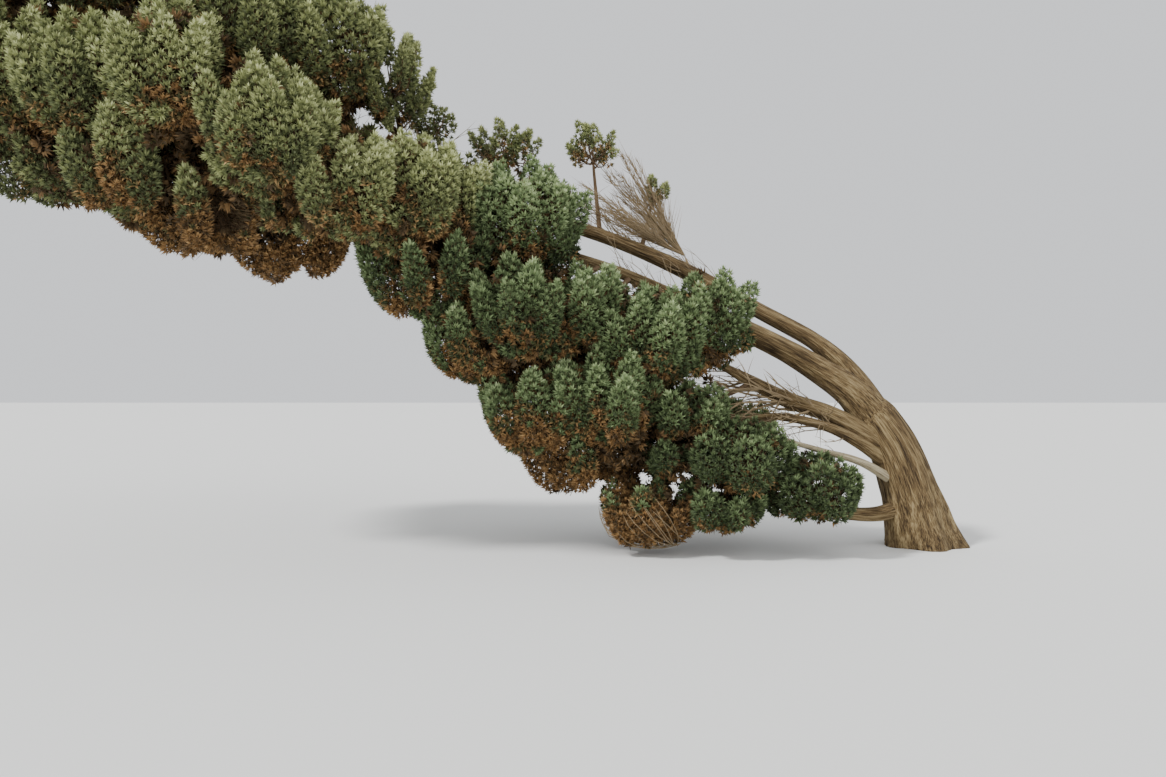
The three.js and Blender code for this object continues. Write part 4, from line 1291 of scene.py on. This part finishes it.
# Twigs
def twig_tubes(paths, radii, sides=3):
    """Many twigs at once, each through its row of places, ending in a point."""
    paths = np.asarray(paths, float)
    count, stations, _ = paths.shape
    radii = np.broadcast_to(radii, (count, stations))
    ways = unit(np.gradient(paths, axis=1))
    helper = np.where(np.abs(ways[:, :1, 2:]) < STEEP, [[[0.0, 0, 1]]], [[[1.0, 0, 0]]])
    across = unit(np.cross(ways, helper))
    other = np.cross(ways, across)
    angles = np.arange(sides) * 2 * math.pi / sides
    ring = (across[:, :, None, :] * np.cos(angles)[:, None] + other[:, :, None, :] * np.sin(angles)[:, None])
    rings = paths[:, :, None, :] + ring * radii[:, :, None, None]
    vertices = np.concatenate([rings[:, :-1].reshape(count, -1, 3), paths[:, -1:]], axis=1)
    side = np.arange(sides)
    after = (side + 1) % sides
    walls = [(station * sides + side, station * sides + after, (station + 1) * sides + after,
              (station + 1) * sides + side) for station in range(stations - 2)]
    last = (stations - 2) * sides
    each = vertices.shape[1]
    first = np.arange(count)[:, None, None] * each
    faces = []
    if walls:
        walls = np.concatenate([np.stack(wall, axis=1) for wall in walls])
        faces += (first + walls[None]).reshape(-1, 4).tolist()
    points = np.stack([last + side, last + after, np.full(sides, each - 1)], axis=1)
    faces += (first + points[None]).reshape(-1, 3).tolist()
    return vertices.reshape(-1, 3), faces


def bent_paths(starts, ends, sag, stations=3):
    """Paths from start to end that hang or lift between them by the given vector."""
    share = np.linspace(0, 1, stations)[None, :, None]
    starts, ends = np.asarray(starts)[:, None, :], np.asarray(ends)[:, None, :]
    return starts + (ends - starts) * share + np.asarray(sag) * 4 * share * (1 - share)


def twig_piece(name, batches, material):
    """One mesh of many batches of twigs."""
    vertices = []
    faces = []
    total = 0
    for batch_vertices, batch_faces in batches:
        vertices.append(batch_vertices)
        faces += [tuple(corner + total for corner in face) for face in batch_faces]
        total += len(batch_vertices)
    return mesh_object(name, np.concatenate(vertices), faces, [material])


def mass_twigs(mass, limb, plumes, sprays):
    """The mass's stem, its forks to plumes and flames, their own stems and those of the sprays."""
    start = stem_start(mass, limb)
    centre = mass["centre"]
    forks = np.array([start + (centre - start) * plume["fork"] for plume in plumes])
    roots = np.array([plume["root"] for plume in plumes])
    tips = np.array([plume["root"] + plume["sweep"] * plume["length"] * TWIG_REACH for plume in plumes])
    above = np.minimum(roots[:, 2], tips[:, 2]) > LOWEST_TWIG
    forks, roots, tips = forks[above], roots[above], tips[above]
    stem = twig_tubes(bent_paths([start], [centre], STEM_SAG, STEM_STATIONS),
                      np.linspace(*STEM_RADII, STEM_STATIONS), STEM_SIDES)
    paths = eased_into_box(np.concatenate([bent_paths(forks, roots, TWIG_SAG), tips[:, None, :]], axis=1))
    twigs = twig_tubes(paths, np.linspace(*TWIG_RADII, paths.shape[1]))
    ends = sprays["base"] + sprays["way"] * sprays["size"][:, None] * SPRAY_STEM_REACH
    stemmed = sprays["kind"] >= FIRST_STEMMED_KIND
    return [stem, twigs, twig_tubes(np.stack([sprays["base"], ends], axis=1)[stemmed], SPRAY_STEM_RADIUS)]


def dead_brush(limb):
    """Bare grey twigs that fan back from a knot over the leader, each with finer side twigs."""
    mass = {"name": "dead_twigs", "centre": np.array(MASSES["dead_twigs"][1])}
    size = MASSES["dead_twigs"][2][0] * EGG_GROWTH
    start = stem_start(mass, limb)
    knot = start + FAN_STEM
    chance = seeded(FAN_SEED)
    random = np.random.default_rng(FAN_SEED)
    paths = []
    for i in range(TWIGS_IN_FAN):
        lift = between(FAN_RISE, (i / TWIGS_IN_FAN) ** 2)
        way = unit(np.array([-1, centred(chance) * FAN_SPREAD, lift]) + random.normal(0, FAN_SCATTER, 3))
        length = size * between(FAN_LENGTH, next(chance))
        paths.append(bent_paths([knot], [knot + way * length], FAN_TWIG_SAG, FAN_TWIG_STATIONS)[0])
    starts = []
    ends = []
    for path in paths:
        for _ in range(SIDE_TWIGS):
            share = between(SIDE_TWIG_STRETCH, random.random())
            way = unit(unit(path[-1] - path[0]) + random.normal(0, SIDE_TWIG_SPREAD, 3) + SIDE_TWIG_RISE)
            starts.append(path[0] + (path[-1] - path[0]) * share)
            ends.append(starts[-1] + way * between(SIDE_TWIG_LENGTH, random.random())
                        * (SIDE_TWIG_SHORTER - share))
    stem = bent_paths([start], [knot], (0, 0, 0), FAN_STEM_STATIONS)
    return [twig_tubes(stem, np.linspace(*FAN_STEM_RADII, FAN_STEM_STATIONS), STEM_SIDES),
            twig_tubes(paths, np.linspace(*FAN_TWIG_RADII, FAN_TWIG_STATIONS), FAN_TWIG_SIDES),
            twig_tubes(bent_paths(starts, ends, SIDE_TWIG_SAG), SIDE_TWIG_RADII)]


def bare_twigs(limbs):
    """Forked bare twigs that stand on the limbs, and the curved stems that hold the rusty tuft."""
    chance = np.random.default_rng(BARE_SEED)
    batches = []
    for name, stretch, way, spread, lengths, radius, count in BARE_TWIGS:
        places = limbs[name]["places"]
        number = (chance.uniform(*stretch, count) * (len(places) - 1)).astype(int)
        starts = places[number, :3]
        ways = unit(np.array(way) + chance.normal(0, spread, (count, 3)))
        ends = starts + ways * chance.uniform(*lengths, count)[:, None]
        bends = chance.normal(0, BARE_BEND, (count, 1, 3))
        paths = eased_into_box(bent_paths(starts, ends, bends, BARE_STATIONS))
        batches.append(twig_tubes(paths, np.linspace(radius, radius * BARE_TAPER, BARE_STATIONS), BARE_SIDES))
        for station in range(1, BARE_STATIONS - 1):
            side_ways = unit(ways + chance.normal(0, BARE_SIDE_SPREAD, (count, 3)))
            side_lengths = np.linalg.norm(ends - starts, axis=1) * chance.uniform(*BARE_SIDE_LENGTH, count)
            side_ends = paths[:, station] + side_ways * side_lengths[:, None]
            sides = eased_into_box(bent_paths(paths[:, station], side_ends, BARE_SIDE_SAG))
            first, last = BARE_SIDE_TAPER
            batches.append(twig_tubes(sides, np.linspace(radius * first, radius * last, sides.shape[1])))
    batches.append(twig_tubes(basket_stems(chance), np.linspace(*BASKET_RADII, BASKET_STATIONS)))
    return batches


def basket_stems(chance):
    """Ribs that fan out from the foot of the rusty tuft and curve up round it."""
    centre, half = np.array(MASSES["rusty_tuft"][1]), np.array(MASSES["rusty_tuft"][2]) * EGG_GROWTH
    swing = chance.uniform(-BASKET_SWING, BASKET_SWING, BASKET_STEMS)
    heights = chance.uniform(*BASKET_ENDS, BASKET_STEMS)
    ends = unit(np.stack([-np.cos(swing), np.sin(swing), heights], axis=1))
    feet = BASKET_FOOT + chance.normal(0, BASKET_FOOT_SCATTER, (BASKET_STEMS, 3))
    share = np.linspace(0, 1, BASKET_STATIONS)[None, :, None]
    ways = unit(feet[:, None, :] * (1 - share) + ends[:, None, :] * share)
    return eased_into_box(centre + half * ways * chance.uniform(*BASKET_SIZE, (BASKET_STEMS, 1, 1)))


# Materials
def plain_material(name, colour, roughness=LEAF_ROUGHNESS):
    material = bpy.data.materials.new(name)
    material.use_nodes = True
    shader = material.node_tree.nodes["Principled BSDF"]
    shader.inputs["Base Color"].default_value = (*colour, 1)
    shader.inputs["Roughness"].default_value = roughness
    shader.inputs["Specular IOR Level"].default_value = SPECULAR
    return material


def bark_material(name, tones):
    """Fibrous bark: long fibres in three tones, with a bump that follows them."""
    material = plain_material(name, tones[1], BARK_ROUGHNESS)
    tree = material.node_tree
    shader = tree.nodes["Principled BSDF"]
    grain = added(tree, "ShaderNodeAttribute", {}, attribute_name="grain")
    stretch = added(tree, "ShaderNodeMapping", {"Vector": grain.outputs["Vector"], "Scale": FIBRE_STRETCH})
    fibre = added(tree, "ShaderNodeTexNoise",
                  {"Vector": stretch.outputs["Vector"], "Scale": FIBRE_SCALE, "Detail": FIBRE_DETAIL,
                   "Roughness": FIBRE_ROUGHNESS})
    patch = added(tree, "ShaderNodeTexNoise", {"Vector": stretch.outputs["Vector"], "Scale": PATCH_SCALE})
    fine = added(tree, "ShaderNodeMath", {0: fibre.outputs["Fac"], 1: FIBRE_SHARE}, operation="MULTIPLY")
    height = added(tree, "ShaderNodeMath",
                   {0: patch.outputs["Fac"], 1: PATCH_SHARE, 2: fine.outputs[0]}, operation="MULTIPLY_ADD")
    ramp = added(tree, "ShaderNodeValToRGB", {"Fac": height.outputs[0]})
    ramp.color_ramp.elements.new(TONE_STOPS[1])
    for stop, position, tone in zip(ramp.color_ramp.elements, TONE_STOPS, tones):
        stop.position = position
        stop.color = (*tone, 1)
    tree.links.new(ramp.outputs["Color"], shader.inputs["Base Color"])
    bump = added(tree, "ShaderNodeBump",
                 {"Height": fibre.outputs["Fac"], "Strength": 1.0, "Distance": BUMP_DISTANCE})
    tree.links.new(bump.outputs["Normal"], shader.inputs["Normal"])
    return material


# Camera, floor and light
def make_camera():
    lens = bpy.data.cameras.new("camera")
    lens.sensor_fit = "HORIZONTAL"
    lens.sensor_width = SENSOR_WIDTH
    lens.lens = FOCAL_PIXELS / PHOTO_WIDTH * SENSOR_WIDTH
    camera = bpy.data.objects.new("camera", lens)
    camera.location = CAMERA_PLACE
    camera.rotation_euler = (math.pi / 2, 0, 0)
    bpy.context.scene.collection.objects.link(camera)
    bpy.context.scene.camera = camera


def make_floor():
    far = FLOOR_REACH
    corners = [(-far, -far, 0), (far, -far, 0), (far, far, 0), (-far, far, 0)]
    floor = mesh_object("floor", corners, [(0, 1, 2, 3)], [plain_material("pale_floor", FLOOR_TONE)])


def make_lights():
    world = bpy.data.worlds.new("studio")
    world.use_nodes = True
    world.node_tree.nodes["Background"].inputs["Color"].default_value = SKY_TONE
    world.node_tree.nodes["Background"].inputs["Strength"].default_value = SKY_STRENGTH
    bpy.context.scene.world = world
    for name, strength, spread, turn in SUNS:
        lamp = bpy.data.lights.new(name, "SUN")
        lamp.energy = strength
        lamp.angle = math.radians(spread)
        light = bpy.data.objects.new(name, lamp)
        light.rotation_euler = [math.radians(angle) for angle in turn]
        bpy.context.scene.collection.objects.link(light)


# The pieces, each attached to the root body and hiding the nodes it takes the place of
def finished(piece, slot, *nodes):
    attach(piece, "root")
    if nodes:
        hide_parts(*nodes)


def make_limbs():
    bark = bark_material("fibrous_bark", LIVE_BARK)
    dead = bark_material("dead_bark", DEAD_BARK)
    for name in LIMBS:
        dry = name == "dead_bough"
        finished(limb_piece(name, dead if dry else bark), "dead_wood" if dry else "bark", name)


def crown_forms(leafy, dense, wood):
    """The plumes or flames of every leafy mass, by its name, and all the flames in one list."""
    forms = {}
    flames = []
    for mass in leafy:
        at_solids, chance = source_plumes(mass, wood)
        if mass["open"]:
            forms[mass["name"]] = at_solids + small_plumes(mass, chance, wood)
        else:
            forms[mass["name"]] = mass_flames(mass, at_solids, chance, dense)
            flames += forms[mass["name"]]
    shades = np.random.default_rng(SHADE_SEED).normal(0, SHADE_VARIES, len(flames))
    for flame, shade in zip(flames, shades):
        flame["shade"] = shade
    return forms, flames


def make_leaves(sprays):
    shapes = spray_shapes()
    shelf = shape_collection("spray_shapes", shapes)
    paints = [plain_material(name, colour) for name, colour in PALETTE]
    tree = scatter_tree("sprays_on_plumes", paints)
    for name, members in CROWN_PIECES.items():
        piece = scattered(name, tree, shelf, joined([sprays[member] for member in members]))
        finished(piece, "rust_foliage" if name in RUSTY_PIECES else "foliage", *members)
    for shape in shapes:
        bpy.data.objects.remove(shape)
    bpy.data.collections.remove(shelf)


def make_crown():
    limbs = limb_samples()
    leafy = [mass for mass in all_masses(limbs) if mass["name"] != "dead_twigs"]
    dense = [mass for mass in leafy if not mass["open"]]
    wood = np.vstack([limb["places"] for limb in limbs.values()])
    forms, flames = crown_forms(leafy, dense, wood)
    sprays = {}
    batches = []
    for mass in leafy:
        own = forms[mass["name"]]
        sprays[mass["name"]] = mass_sprays(mass, own, flames, dense, wood)
        batches += mass_twigs(mass, limbs[mass["on"]], own, sprays[mass["name"]])
    make_leaves(sprays)
    twig_bark = plain_material("twig_bark", TWIG_BARK, BARK_ROUGHNESS)
    finished(twig_piece("twigs", batches, twig_bark), "bark")
    dry_bark = plain_material("dry_twig", DRY_TWIG, BARK_ROUGHNESS)
    finished(twig_piece("bare_twigs", bare_twigs(limbs), dry_bark), "dead_wood")
    brush = twig_piece("dead_twigs_fine", dead_brush(limbs["leader"]), dry_bark)
    finished(brush, "dead_wood", "dead_twigs")


make_camera()
make_floor()
make_lights()
make_limbs()
make_crown()
